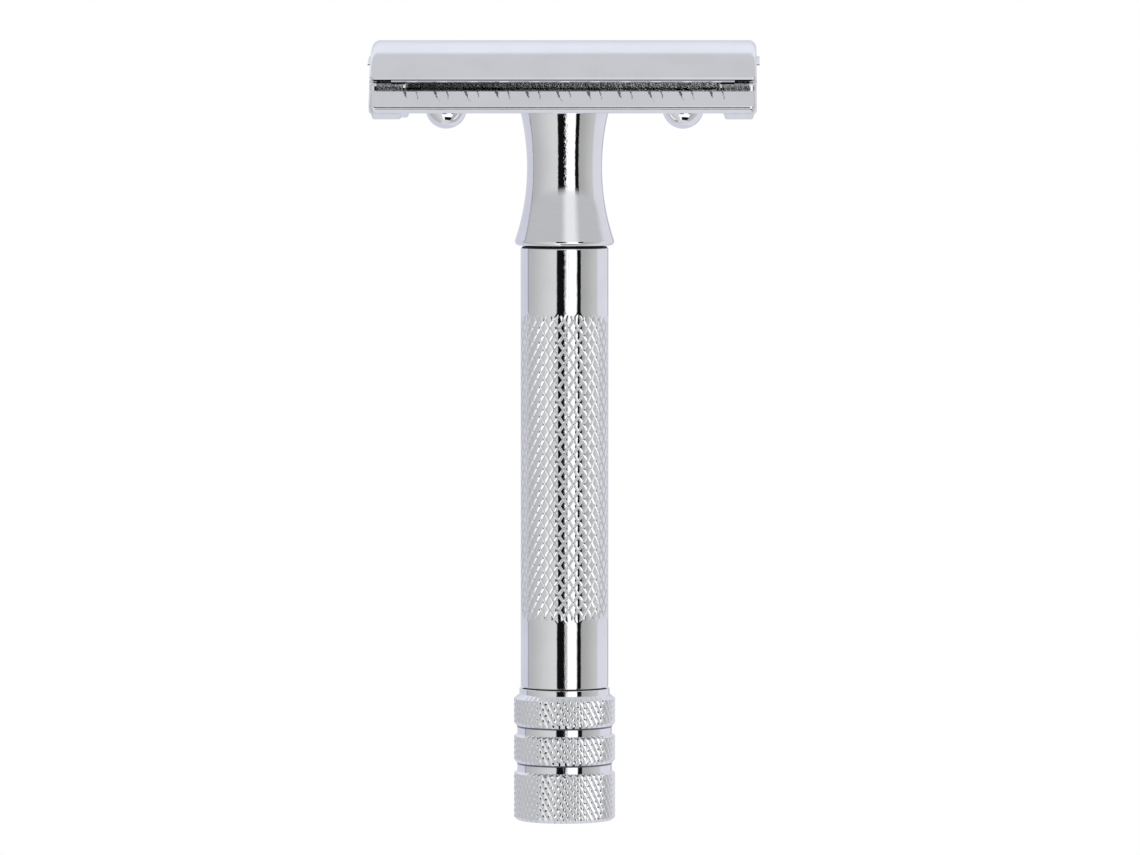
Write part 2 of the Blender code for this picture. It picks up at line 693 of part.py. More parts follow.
def razor_blade():
    outer = bent_arc(BLADE_BEND_RADIUS + BLADE_THICKNESS / 2, BLADE_HALF_CHORD)
    inner = bent_arc(BLADE_BEND_RADIUS - BLADE_THICKNESS / 2, BLADE_HALF_CHORD)
    obj = prism("razor_blade", outer + inner[::-1], BLADE_LENGTH, ALONG_X)
    for cutter in blade_openings():
        cut(obj, cutter)
    return finished(obj, BLADE_STEEL, BLADE_SLIDE)


# Cap with its stud and pins


def cap_section():
    """The cap's (depth, height) outline: a domed top over the blade's bend."""
    edge = bent_height(CAP_INNER_RADIUS, CAP_HALF_CHORD) + CAP_EDGE
    drop = CAP_TOP - edge
    radius = (CAP_HALF_CHORD**2 + drop**2) / (2 * drop)
    half = math.asin(CAP_HALF_CHORD / radius)
    dome = arc((0, CAP_TOP - radius), radius, math.pi / 2 - half, math.pi / 2 + half, ARC_POINTS)
    return dome + bent_arc(CAP_INNER_RADIUS, CAP_HALF_CHORD)[::-1]


def cap_front_outline():
    """The cap's (length, height) outline from the front, with rounded upper corners."""
    half = CAP_LENGTH / 2
    low = BAR_TOP
    round_centre = CAP_TOP - CAP_END_ROUND
    right = arc((half - CAP_END_ROUND, round_centre), CAP_END_ROUND, 0, math.pi / 2, CORNER_POINTS)
    left = [(-across, height) for across, height in reversed(right)]
    return [(-half, low), (half, low)] + right + left


def cap_boss():
    """The boss that holds the stud under the middle of the cap."""
    top = Vector((0, 0, CAP_UNDERSIDE + CAP_CROWN / 2))
    shape = bmesh.new()
    add_bar(shape, CAP_BOSS_RADIUS, Vector((0, 0, BOSS_BOTTOM)), top, SMALL_STEPS)
    return helper(from_bmesh("cap_boss", shape))


def cap_sockets():
    """Blind holes in the cap for the shanks of the stud and the two pins."""
    top = CAP_UNDERSIDE + CAP_SOCKET_DEPTH
    low = BAR_TOP
    shape = bmesh.new()
    add_bar(shape, STUD_SHANK_RADIUS + SEAT_GAP, Vector((0, 0, low)), Vector((0, 0, top)), SMALL_STEPS)
    for side in (-1, 1):
        across = side * PIN_SPACING / 2
        add_bar(
            shape, PIN_SHANK_RADIUS + SEAT_GAP, Vector((across, 0, low)), Vector((across, 0, top)), SMALL_STEPS
        )
    return helper(from_bmesh("cap_sockets", shape))


def top_cap():
    obj = prism("top_cap", cap_section(), CAP_LENGTH + 2 * TRIM, ALONG_X)
    corners = rounded_rectangle(CAP_LENGTH / 2 + CAP_CORNER / 4, CAP_HALF_CHORD + CAP_CORNER / 4, CAP_CORNER * 1.25)
    cut(obj, helper(prism("cap_corners", corners, 4 * CAP_TOP, ALONG_Z)), "INTERSECT")
    front = helper(prism("cap_front", cap_front_outline(), 4 * CAP_HALF_CHORD, ALONG_Y))
    cut(obj, front, "INTERSECT")
    cut(obj, cap_boss(), "UNION")
    cut(obj, cap_sockets())
    return finished(obj, CHROME, CAP_SLIDE)


def cap_stud():
    thread_top = NUT_TOP + STUD_LEAD_TURNS * THREAD_PITCH
    shoulder = BOSS_BOTTOM - SEAT_GAP - thread_top
    shank_top = CAP_UNDERSIDE + CAP_SOCKET_DEPTH - SEAT_GAP - thread_top
    profile = [
        (0, shank_top),
        (STUD_SHANK_RADIUS, shank_top),
        (STUD_SHANK_RADIUS, shoulder),
        (STUD_RADIUS + THREAD_PLAY, shoulder),
        (STUD_RADIUS + THREAD_PLAY, 0),
        (0, 0),
    ]
    obj = turned("cap_stud", profile, thread_top, SMALL_STEPS)
    core = STUD_RADIUS - THREAD_DEPTH
    thread = threaded_bar("stud_thread", STUD_TIP, thread_top + THREAD_PITCH / 2, core, 0)
    cut(obj, helper(thread), "UNION")
    return finished(obj, STEEL, CAP_SLIDE)


def locating_pin(name, side):
    low = PLATE_BOTTOM - PIN_DROP
    shoulder = bent_height(CAP_INNER_RADIUS, PIN_RADIUS) - SEAT_GAP - low
    shank_top = CAP_UNDERSIDE + CAP_SOCKET_DEPTH - SEAT_GAP - low
    profile = [
        (0, shank_top),
        (PIN_SHANK_RADIUS, shank_top),
        (PIN_SHANK_RADIUS, shoulder),
        (PIN_RADIUS, shoulder),
    ]
    profile += arc((0, PIN_RADIUS), PIN_RADIUS, 0, -math.pi / 2, ARC_POINTS // 2)
    obj = turned(name, profile, low, SMALL_STEPS)
    obj.location.x = side * PIN_SPACING / 2
    return finished(obj, CHROME, CAP_SLIDE)


CROSS_HOLE = cross_hole()
knob()
cross_pin()
draw_rod()
draw_nut()
thrust_washer()
handle_tube()
neck()
base_plate()
razor_blade()
top_cap()
cap_stud()
locating_pin("locating_pin_left", -1)
locating_pin("locating_pin_right", 1)
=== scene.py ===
import math

import bmesh
import bpy
from mathutils import Matrix, Vector


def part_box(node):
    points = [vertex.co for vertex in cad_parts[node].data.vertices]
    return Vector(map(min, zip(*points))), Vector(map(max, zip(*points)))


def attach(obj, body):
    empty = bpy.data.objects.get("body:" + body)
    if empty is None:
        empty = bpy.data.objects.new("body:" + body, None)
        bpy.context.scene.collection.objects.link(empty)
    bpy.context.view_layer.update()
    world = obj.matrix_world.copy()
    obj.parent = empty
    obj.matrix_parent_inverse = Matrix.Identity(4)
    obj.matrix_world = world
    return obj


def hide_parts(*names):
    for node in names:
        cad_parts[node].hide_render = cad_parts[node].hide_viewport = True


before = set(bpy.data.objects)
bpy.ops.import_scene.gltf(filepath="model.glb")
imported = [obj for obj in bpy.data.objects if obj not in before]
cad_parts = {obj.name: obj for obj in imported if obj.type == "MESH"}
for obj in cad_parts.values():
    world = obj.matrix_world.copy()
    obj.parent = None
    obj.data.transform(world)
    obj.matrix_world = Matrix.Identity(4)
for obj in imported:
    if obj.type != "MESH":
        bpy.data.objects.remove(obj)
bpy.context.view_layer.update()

MM = 0.001
scene = bpy.context.scene


# Camera: a long lens a little above the head's level, square on to the front guard bar.
# The razor stands in the middle of the frame with room on both sides.
look_at = Vector((0.6, 0, 43.4)) * MM
distance = 868 * MM
azimuth = math.radians(1.0)
elevation = math.radians(2.8)
away = Vector((
    math.sin(azimuth) * math.cos(elevation),
    -math.cos(azimuth) * math.cos(elevation),
    math.sin(elevation),
))
camera_data = bpy.data.cameras.new("camera")
camera_data.lens = 248.3
camera_data.sensor_width = 36
camera_data.clip_start = 0.01
camera_data.clip_end = 50
camera = bpy.data.objects.new("camera", camera_data)
camera.location = look_at + away * distance
camera.rotation_euler = (-away).to_track_quat("-Z", "Y").to_euler()
scene.collection.objects.link(camera)
scene.camera = camera
scene.view_settings.view_transform = "Standard"


class Wire:
    """A socket of a node tree that can be used in sums. With no socket it only adds nodes."""

    def __init__(self, tree, socket=None):
        self.tree = tree
        self.socket = socket

    def add(self, kind, settings=None, sockets=None, out=0):
        """Adds a node with its settings and its sockets' values or links, and gives one output."""
        node = self.tree.nodes.new(kind)
        for name, value in (settings or {}).items():
            setattr(node, name, value)
        for name, value in (sockets or {}).items():
            if isinstance(value, Wire):
                self.tree.links.new(value.socket, node.inputs[name])
            else:
                node.inputs[name].default_value = value
        if not node.outputs:
            return None
        return Wire(self.tree, node.outputs[out])

    def maths(self, operation, first, second=0.0):
        return self.add("ShaderNodeMath", {"operation": operation}, {0: first, 1: second})

    def __add__(self, other):
        return self.maths("ADD", self, other)

    def __radd__(self, other):
        return self.maths("ADD", other, self)

    def __sub__(self, other):
        return self.maths("SUBTRACT", self, other)

    def __rsub__(self, other):
        return self.maths("SUBTRACT", other, self)

    def __mul__(self, other):
        return self.maths("MULTIPLY", self, other)

    def __rmul__(self, other):
        return self.maths("MULTIPLY", other, self)

    def __truediv__(self, other):
        return self.maths("DIVIDE", self, other)

    def between(self, low, high, smooth=True):
        """0 below low, 1 above high, and a ramp in between."""
        kind = "SMOOTHSTEP" if smooth else "LINEAR"
        return self.add("ShaderNodeMapRange", {"interpolation_type": kind}, {0: self, 1: low, 2: high})

    def mix(self, first, second):
        """A colour between two, by this value."""
        return self.add("ShaderNodeMix", {"data_type": "RGBA"}, {0: self, 6: first, 7: second}, 2)


# Studio: a white sweep with strip lights and dark flags round the razor. Polished metal shows them
# as tall bright and dark bands, so the room's shades follow the direction looked in.
world = bpy.data.worlds.new("studio")
scene.world = world
world.use_nodes = True
world.node_tree.nodes.clear()
room = Wire(world.node_tree)
direction = room.add("ShaderNodeTexCoord", out=0)
split = room.add("ShaderNodeSeparateXYZ", None, {0: direction})
east = Wire(world.node_tree, split.socket.node.outputs[0])
north = Wire(world.node_tree, split.socket.node.outputs[1])
up = Wire(world.node_tree, split.socket.node.outputs[2])
ripple = room.add("ShaderNodeTexNoise", None, {"Vector": direction, "Scale": 45.0, "Detail": 3.0})
turn = room.maths("ARCTAN2", east, north * -1.0) * (180 / math.pi) + (ripple - 0.5) * 7.0
height = room.maths("ARCSINE", up) * (180 / math.pi)
ragged = turn + (ripple - 0.5) * 32.0
BACK_LOW = (0.69, 0.70, 0.80, 1)
BACK_HIGH = (0.88, 0.91, 1.0, 1)
LEFT_FAR = (0.52, 0.52, 0.525, 1)
LEFT_NEAR = (0.75, 0.75, 0.745, 1)
BLACK = (0.006, 0.006, 0.007, 1)
STRIP = (1.25, 1.25, 1.25, 1)
RIGHT_NEAR = (0.44, 0.44, 0.43, 1)
RIGHT_FAR = (0.62, 0.62, 0.62, 1)
LAVENDER = (0.78, 0.78, 0.85, 1)
SEAM = (0.36, 0.37, 0.42, 1)
OVERHEAD = (0.66, 0.665, 0.69, 1)
UPPER_FRONT = (0.58, 0.585, 0.60, 1)
GLOW = (0.95, 0.95, 0.96, 1)
PAPER = (0.74, 0.755, 0.82, 1)
back = height.between(8, 36).mix(BACK_LOW, BACK_HIGH)
left = turn.between(-108, -19).mix(LEFT_FAR, LEFT_NEAR)
right = turn.between(45, 97).mix(RIGHT_NEAR, RIGHT_FAR)
low_seam = height.between(12, 20).mix(SEAM, back)
strip_edge = 5
# each band: the degrees round from the front at which it starts, its shade, and how soft its edge is
bands = [
    (-112, SEAM, 1), (-108, left, 1), (-19, BLACK, 1.5), (strip_edge, STRIP, 1.5), (33, BLACK, 1.5),
    (45, right, 1.5), (97, LAVENDER, 4), (154, low_seam, 2), (160, back, 2),
]
shade = back
for edge, colour, blur in bands:
    place = ragged if edge == strip_edge else turn
    shade = place.between(edge - blur, edge + blur).mix(shade, colour)
front = 1.0 - room.maths("ABSOLUTE", turn).between(95, 120)
strip_side = 1.0 - room.maths("ABSOLUTE", turn - 17.0).between(7, 28)
upper = strip_side.mix(UPPER_FRONT, GLOW)
shade = (height.between(8, 13) * front).mix(shade, upper)
low_bands = [(-108, left, 2), (-26, STRIP, 3), (47, right, 3), (97, LAVENDER, 4), (156, back, 4)]
low = back
for edge, colour, blur in low_bands:
    low = turn.between(edge - blur, edge + blur).mix(low, colour)
shade = (1.0 - height.between(-31, -26)).mix(shade, low)
dark_side = 1.0 - room.maths("ABSOLUTE", turn - 19.0).between(30, 34)
dark_patch = dark_side * (1.0 - height.between(-52, -49))
shade = dark_patch.mix(shade, BLACK)
shade = (1.0 - height.between(-72, -68)).mix(shade, PAPER)
shade = height.between(46, 54).mix(shade, OVERHEAD)
rays = room.add("ShaderNodeLightPath")
camera_ray = Wire(world.node_tree, rays.socket.node.outputs["Is Camera Ray"])
plain = room.add("ShaderNodeBackground", None, {0: (1, 1, 1, 1), 1: 1.0})
reflected = room.add("ShaderNodeBackground", None, {0: shade, 1: 1.0})
both = room.add("ShaderNodeMixShader", None, {0: camera_ray, 1: reflected, 2: plain})
room.add("ShaderNodeOutputWorld", None, {0: both})


# Floor: a pale seamless sheet that the razor's foot stands on. The camera sees it plain white, and the
# metal reflects the room in its place.
sheet = bmesh.new()
bmesh.ops.create_grid(sheet, x_segments=1, y_segments=1, size=0.6)
floor_mesh = bpy.data.meshes.new("floor")
sheet.to_mesh(floor_mesh)
sheet.free()
floor = bpy.data.objects.new("floor", floor_mesh)
floor.location.z = -0.02 * MM
scene.collection.objects.link(floor)
paper = bpy.data.materials.new("floor_paper")
paper.use_nodes = True
paper.node_tree.nodes.clear()
sheet_wire = Wire(paper.node_tree)
rays = sheet_wire.add("ShaderNodeLightPath").socket.node
seen = Wire(paper.node_tree, rays.outputs["Is Camera Ray"])
mirrored = Wire(paper.node_tree, rays.outputs["Is Glossy Ray"])
white = sheet_wire.add("ShaderNodeEmission", None, {0: (1, 1, 1, 1), 1: 1.0})
matt = sheet_wire.add("ShaderNodeBsdfDiffuse", None, {0: (0.9, 0.9, 0.92, 1)})
lit = sheet_wire.maths("MAXIMUM", seen, mirrored)
sheet_shader = sheet_wire.add("ShaderNodeMixShader", None, {0: lit, 1: matt, 2: white})
sheet_wire.add("ShaderNodeOutputMaterial", None, {0: sheet_shader})
floor_mesh.materials.append(paper)
floor.visible_glossy = False


# Chrome: bright nickel-chrome plate. Polishing leaves a faint haze and a few soft smears. The pieces
# inside the handle are bare machined metal.


def chrome(name, tint, roughness, haze, scale, lines=None):
    """Plated metal, slightly wavy, whose gloss wanders. Polishing rings run up to the level lines."""
    made = bpy.data.materials.new(name)
    made.use_nodes = True
    shader = made.node_tree.nodes["Principled BSDF"]
    shader.inputs["Metallic"].default_value = 1.0
    wire = Wire(made.node_tree)
    place = wire.add("ShaderNodeTexCoord", out=3)
    smear = wire.add("ShaderNodeTexNoise", None, {"Vector": place, "Scale": scale, "Detail": 4.0})
    fine = wire.add("ShaderNodeTexNoise", None, {"Vector": place, "Scale": scale * 9, "Detail": 3.0})
    patch = smear.between(0.35, 0.7)
    gloss = patch * haze + roughness + fine * (haze * 0.4)
    made.node_tree.links.new(gloss.socket, shader.inputs["Roughness"])
    darker = tuple(channel * 0.96 for channel in tint)
    worn = patch
    wave = wire.add("ShaderNodeTexNoise", None, {"Vector": place, "Scale": 900.0, "Detail": 1.0})
    grain = wire.add("ShaderNodeTexNoise", None, {"Vector": place, "Scale": 7000.0, "Detail": 2.0})
    height = wave + grain * 0.12
    if lines:
        stretched = wire.add("ShaderNodeMapping", None, {"Vector": place, "Scale": (90, 90, 7000)})
        rings = wire.add("ShaderNodeTexNoise", None, {"Vector": stretched, "Scale": 1.0, "Detail": 3.0})
        axes = wire.add("ShaderNodeSeparateXYZ", None, {0: place}).socket.node
        level = Wire(made.node_tree, axes.outputs[2])
        turned = rings * (1.0 - level.between(lines - 2 * MM, lines))
        height = height + turned * 0.8
        worn = patch + turned.between(0.3, 0.7) * 2.5
    colour = worn.mix((*tint, 1), (*darker, 1))
    made.node_tree.links.new(colour.socket, shader.inputs["Base Color"])
    bump = wire.add("ShaderNodeBump", None, {"Strength": 1.0, "Distance": 0.005 * MM, "Height": height})
    made.node_tree.links.new(bump.socket, shader.inputs["Normal"])
    return made


def cast_metal_with_shade(name, tint, half):
    """Plate over a raw casting: pitted, and rougher from one end of the piece to the other. Painted
    shade darkens its colour towards the low-X end.
    """
    made = bpy.data.materials.new(name)
    made.use_nodes = True
    shader = made.node_tree.nodes["Principled BSDF"]
    shader.inputs["Metallic"].default_value = 1.0
    wire = Wire(made.node_tree)
    place = wire.add("ShaderNodeTexCoord", out=3)
    across = wire.add("ShaderNodeSeparateXYZ", None, {0: place})
    ends = wire.maths("ABSOLUTE", across).between(half, half + 0.2 * MM)
    along = across.between(-half * 1.1, half * 1.1, False) * (1.0 - ends) + ends * 0.5
    pits = wire.add("ShaderNodeTexNoise", None, {"Vector": place, "Scale": 5200.0, "Detail": 3.0})
    lumps = wire.add("ShaderNodeTexNoise", None, {"Vector": place, "Scale": 1500.0, "Detail": 2.0})
    gloss = lumps * 0.12 + 0.1
    made.node_tree.links.new(gloss.socket, shader.inputs["Roughness"])
    darker = tuple(channel * 0.25 for channel in tint)
    # painted shade: the colour grows darker towards the low-X end of the piece
    colour = (pits.between(0.36, 0.62) * (along * 0.8 + 0.2)).mix((*darker, 1), (*tint, 1))
    made.node_tree.links.new(colour.socket, shader.inputs["Base Color"])
    height = (pits + lumps * 0.8) * (along * 0.75 + 0.25)
    bump = wire.add("ShaderNodeBump", None, {"Strength": 1.0, "Distance": 0.05 * MM, "Height": height})
    made.node_tree.links.new(bump.socket, shader.inputs["Normal"])
    return made


def inner_metal(name, tint, roughness, ring):
    """Machined metal of an inside piece, with fine turning rings along Z."""
    made = bpy.data.materials.new(name)
    made.use_nodes = True
    shader = made.node_tree.nodes["Principled BSDF"]
    shader.inputs["Metallic"].default_value = 1.0
    wire = Wire(made.node_tree)
    place = wire.add("ShaderNodeTexCoord", out=3)
    stretched = wire.add("ShaderNodeMapping", None, {"Vector": place, "Scale": (60, 60, ring)})
    rings = wire.add("ShaderNodeTexNoise", None, {"Vector": stretched, "Scale": 1.0, "Detail": 3.0})
    gloss = rings * 0.22 + roughness
    made.node_tree.links.new(gloss.socket, shader.inputs["Roughness"])
    darker = tuple(channel * 0.82 for channel in tint)
    colour = rings.between(0.3, 0.7).mix((*tint, 1), (*darker, 1))
    made.node_tree.links.new(colour.socket, shader.inputs["Base Color"])
    return made


polished = chrome("polished_chrome", (0.86, 0.865, 0.88), 0.015, 0.02, 220)
# painted shade: a near-black finish for the faces in the joints between the handle's pieces, where shade
# falls
joint_shade = inner_metal("joint_painted_shade", (0.05, 0.05, 0.055), 0.5, 3000)


# Inner mechanism: the draw rod, its nut, the cross pin and the thrust washer. The knob, the tube and the
# neck close them in, so their solids stay and only get machined finishes. Grease darkens the washer.
inner_finishes = {
    "draw_rod": inner_metal("drawn_steel", (0.60, 0.61, 0.63), 0.2, 9000),
    "knob_cross_pin": inner_metal("pin_steel", (0.58, 0.59, 0.61), 0.22, 5000),
    "draw_nut": inner_metal("nut_brass", (0.74, 0.56, 0.28), 0.24, 12000),
    "thrust_washer": inner_metal("washer_brass", (0.12, 0.10, 0.07), 0.4, 20000),
}
for node, finish in inner_finishes.items():
    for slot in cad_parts[node].material_slots:
        slot.material = finish


# Knob: one turned bar with three gripping rings. Each ring is rolled with fine diamonds, and the
# grooves, the collar and the chamfers are cut after rolling and stay smooth.


def smooth(mesh, angle):
    """Smooth shading that keeps edges sharper than an angle in degrees."""
    mesh.shade_smooth()
    mesh.set_sharp_from_angle(angle=math.radians(angle))


def put(name, shape, finish, sharp_angle):
    """A finished mesh object from a closed shape."""
    bmesh.ops.recalc_face_normals(shape, faces=shape.faces)
    mesh = bpy.data.meshes.new(name)
    shape.to_mesh(mesh)
    shape.free()
    smooth(mesh, sharp_angle)
    mesh.materials.append(finish)
    mesh.polygons.foreach_set("material_index", [0] * len(mesh.polygons))
    obj = bpy.data.objects.new(name, mesh)
    scene.collection.objects.link(obj)
    return obj


def paint(piece, finish, chosen):
    """Gives a second finish to the faces picked by their middle and their normal."""
    piece.data.materials.append(finish)
    index = len(piece.data.materials) - 1
    for polygon in piece.data.polygons:
        if chosen(polygon.center, polygon.normal):
            polygon.material_index = index


def knurl_tree():
    """Diamonds rolled round a cylinder: a flat tile is repeated, then wrapped round the axis.

    Gather crowds the tile's points towards its edges, Second is the depth of the grooves that run the
    other way against the first, and Pillow rounds the tile's flat top.
    """
    tree = bpy.data.node_groups.new("rolled_diamonds", "GeometryNodeTree")
    tree.interface.new_socket("Geometry", in_out="OUTPUT", socket_type="NodeSocketGeometry")
    inputs = [
        ("Float", ("Radius", "Bottom", "Row Height")),
        ("Int", ("Rows", "Starts", "Cells")),
        ("Float", ("Depth", "Flank", "Gather", "Second", "Pillow")),
        ("Float", ("Fade Low", "Fade High", "Fade Length")),
        ("Material", ("Finish",)),
    ]
    for kind, names in inputs:
        for name in names:
            tree.interface.new_socket(name, in_out="INPUT", socket_type="NodeSocket" + kind)
    wire = Wire(tree)
    entry = wire.add("NodeGroupInput").socket.node
    given = {socket.name: Wire(tree, socket) for socket in entry.outputs if socket.name}

    # the tile lies corner to corner: its two diagonals run round the axis and along it
    count = given["Cells"] + 1.0
    tile = wire.add("GeometryNodeMeshGrid", None, {0: 1.0, 1: 1.0, 2: count, 3: count})
    position = wire.add("GeometryNodeInputPosition")
    corner = wire.add("ShaderNodeSeparateXYZ", None, {0: position}).socket.node
    across, along = (Wire(tree, corner.outputs[i]) for i in (0, 1))
    near = [1.0 - wire.maths("ABSOLUTE", way) * 2.0 for way in (across, along)]
    near = [wire.maths("POWER", wire.maths("MAXIMUM", way, 0.0), given["Gather"]) * 0.5 for way in near]
    across, along = (
        wire.maths("SIGN", way) * (0.5 - gap) for way, gap in zip((across, along), near)
    )
    grooves = [1.0 - way.between(0.0, given["Flank"], False) for way in near]
    groove = wire.maths("MAXIMUM", grooves[0], grooves[1] * given["Second"])
    pillow = (across * across + along * along) * 2.0
    groove = groove * (1.0 - given["Pillow"]) + pillow * given["Pillow"]
    tilted = wire.add(
        "ShaderNodeCombineXYZ", None,
        {0: (across - along) * 0.5, 1: (across + along) * 0.5, 2: groove},
    )
    tile = wire.add("GeometryNodeSetPosition", None, {0: tile, 2: tilted})

    # one tile on each crossing of the two helices
    total = given["Starts"] * given["Rows"]
    points = wire.add("GeometryNodePoints", None, {0: total})
    index = wire.add("GeometryNodeInputIndex")
    row = wire.maths("FLOOR", (index + 0.01) / given["Starts"])
    column = index - row * given["Starts"] + wire.maths("MODULO", row, 2.0) * 0.5
    spot = wire.add("ShaderNodeCombineXYZ", None, {0: column, 1: row * 0.5})
    points = wire.add("GeometryNodeSetPosition", None, {0: points, 2: spot})
    tiles = wire.add("GeometryNodeInstanceOnPoints", None, {0: points, 2: tile})
    tiles = wire.add("GeometryNodeRealizeInstances", None, {0: tiles})

    # the flat sheet is wrapped round the axis, and its grooves fade out at both ends
    position = wire.add("GeometryNodeInputPosition")
    flat = wire.add("ShaderNodeSeparateXYZ", None, {0: position}).socket.node
    angle = Wire(tree, flat.outputs[0]) * math.tau / given["Starts"]
    level = Wire(tree, flat.outputs[1]) * given["Row Height"] + given["Bottom"]
    starting = (level - given["Fade Low"]) / given["Fade Length"]
    ending = (given["Fade High"] - level) / given["Fade Length"]
    fade = wire.maths("MINIMUM", starting.between(0.0, 1.0), ending.between(0.0, 1.0))
    radius = given["Radius"] - Wire(tree, flat.outputs[2]) * given["Depth"] * fade
    wrapped = wire.add(
        "ShaderNodeCombineXYZ", None,
        {0: radius * wire.maths("COSINE", angle), 1: radius * wire.maths("SINE", angle), 2: level},
    )
    tiles = wire.add("GeometryNodeSetPosition", None, {0: tiles, 2: wrapped})
    tiles = wire.add("GeometryNodeMergeByDistance", None, {"Geometry": tiles, "Distance": 0.003 * MM})
    tiles = wire.add("GeometryNodeSetMaterial", None, {0: tiles, 2: given["Finish"]})
    wire.add("NodeGroupOutput", None, {0: tiles})
    return tree


rolled_diamonds = knurl_tree()


def knurled_band(low, high, finish, **sizes):
    """The rolled diamonds between two levels, cut off square, as an open shape."""
    holder = bpy.data.objects.new("knurl", bpy.data.meshes.new("knurl"))
    scene.collection.objects.link(holder)
    modifier = holder.modifiers.new("knurl", "NODES")
    modifier.node_group = rolled_diamonds
    row = sizes["row_height"]
    values = {
        "Radius": sizes["radius"], "Bottom": low - row, "Row Height": row,
        "Rows": math.ceil((high - low) / row + 2) * 2 + 1, "Starts": sizes["starts"],
        "Cells": sizes["cells"], "Depth": sizes["depth"], "Flank": sizes["flank"],
        "Gather": sizes["gather"], "Second": sizes["second"], "Pillow": sizes["pillow"],
        "Fade Low": sizes["fade_low"], "Fade High": sizes["fade_high"],
        "Fade Length": sizes["fade_length"], "Finish": finish,
    }
    for item in rolled_diamonds.interface.items_tree:
        if item.in_out == "INPUT":
            modifier[item.identifier] = values[item.name]
    holder.update_tag()
    graph = bpy.context.evaluated_depsgraph_get()
    mesh = bpy.data.meshes.new_from_object(holder.evaluated_get(graph))
    holder.modifiers.remove(modifier)
    bpy.data.objects.remove(holder)
    shape = bmesh.new()
    shape.from_mesh(mesh)
    bpy.data.meshes.remove(mesh)
    for level, side in ((low, -1), (high, 1)):
        everything = shape.verts[:] + shape.edges[:] + shape.faces[:]
        bmesh.ops.bisect_plane(
            shape, geom=everything, plane_co=(0, 0, level), plane_no=(0, 0, side), clear_outer=True,
            dist=0.0002 * MM,
        )
    return shape


def rim(shape, level):
    """The open edge loop of a shape at a level."""
    return [
        edge for edge in shape.edges
        if edge.is_boundary and all(abs(vert.co.z - level) < 0.001 * MM for vert in edge.verts)
    ]


def carry_on(shape, edges, profile):
    """Extends an open rim along (radius, height) points round the axis. Gives the last rim."""
    for radius, level in profile:
        made = bmesh.ops.extrude_edge_only(shape, edges=edges)["geom"]
        edges = [item for item in made if isinstance(item, bmesh.types.BMEdge) and item.is_boundary]
        for vert in {vert for edge in edges for vert in edge.verts}:
            flat = Vector((vert.co.x, vert.co.y, 0)).normalized()
            vert.co = flat * radius + Vector((0, 0, level))
    return edges


knurled = chrome("knurled_chrome", (0.86, 0.865, 0.88), 0.03, 0.03, 260)
# painted shadow: a dark blue-grey chrome for the lines under the knob's rings and high on the scallops'
# left walls
shadow_paint = chrome("painted_shadow_chrome", (0.17, 0.19, 0.23), 0.2, 0.1, 300)
ring_radius = 5.6 * MM
groove_radius = 5.24 * MM
collar_radius = 5.0 * MM
foot_chamfer = 0.35 * MM
foot_radius = ring_radius - foot_chamfer
foot_middle = 3.0 * MM
upper_flank = 0.25 * MM
lower_flank = 0.5 * MM
corner_height = 0.13 * MM
corner_depth = 0.07 * MM
collar_low = 13.97 * MM
knob_top = 14.6 * MM
washer_seat = 4.35 * MM
seat_floor = 14.25 * MM
pilot_radius = 3.7 * MM
pilot_top = 19.6 * MM
rod_bore = 2.05 * MM
rod_bore_end = 6.1 * MM
ring_levels = [(foot_chamfer, 5.2 * MM), (6.75 * MM, 9.3 * MM), (10.85 * MM, 13.45 * MM)]
no_fade = 1.0
knob_shape = bmesh.new()
for low, high in ring_levels:
    ring = knurled_band(
        low, high, knurled, radius=ring_radius, row_height=1.25 * MM, starts=48, cells=6,
        depth=0.15 * MM, flank=0.35, gather=1.0, second=0.6, pillow=0.0, fade_low=-no_fade,
        fade_high=no_fade, fade_length=0.1 * MM,
    )
    if low == foot_chamfer:
        foot = carry_on(ring, rim(ring, low), [
            (foot_radius, 0.02 * MM), (foot_radius - 0.06 * MM, 0), (foot_middle, 0),
        ])
        bmesh.ops.contextual_create(ring, geom=foot)
    else:
        corner = low - lower_flank
        carry_on(ring, rim(ring, low), [
            (groove_radius + 0.09 * MM, corner + corner_height), (groove_radius, corner),
            (groove_radius, corner - corner_depth),
        ])
    if high == ring_levels[-1][1]:
        last = carry_on(ring, rim(ring, high), [
            (collar_radius + 0.04 * MM, collar_low - 0.06 * MM), (collar_radius, collar_low),
            (collar_radius, knob_top - 0.05 * MM), (collar_radius - 0.05 * MM, knob_top),
            (washer_seat, knob_top), (washer_seat, seat_floor), (pilot_radius, seat_floor),
            (pilot_radius, pilot_top - 0.1 * MM), (pilot_radius - 0.1 * MM, pilot_top),
            (rod_bore, pilot_top), (rod_bore, rod_bore_end),
        ])
        bmesh.ops.contextual_create(ring, geom=last)
    else:
        carry_on(ring, rim(ring, high), [(groove_radius, high + upper_flank)])
    part = bpy.data.meshes.new("ring")
    ring.to_mesh(part)
    ring.free()
    knob_shape.from_mesh(part)
    bpy.data.meshes.remove(part)
corners = [low - lower_flank for low, high in ring_levels[1:]]
for (low, high), corner in zip(ring_levels, corners):
    loops = rim(knob_shape, high + upper_flank) + rim(knob_shape, corner - corner_depth)
    bmesh.ops.bridge_loops(knob_shape, edges=loops)
knob = put("knob_turned", knob_shape, knurled, 20)
# painted shadow: a thin band at the top of each groove, just under the ring above, is painted dark
# blue-grey
paint(knob, shadow_paint, lambda middle, out: middle.xy.length > collar_radius and any(
    -corner_depth < middle.z - corner < corner_height for corner in corners
))
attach(knob, "knob")
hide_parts("knob")


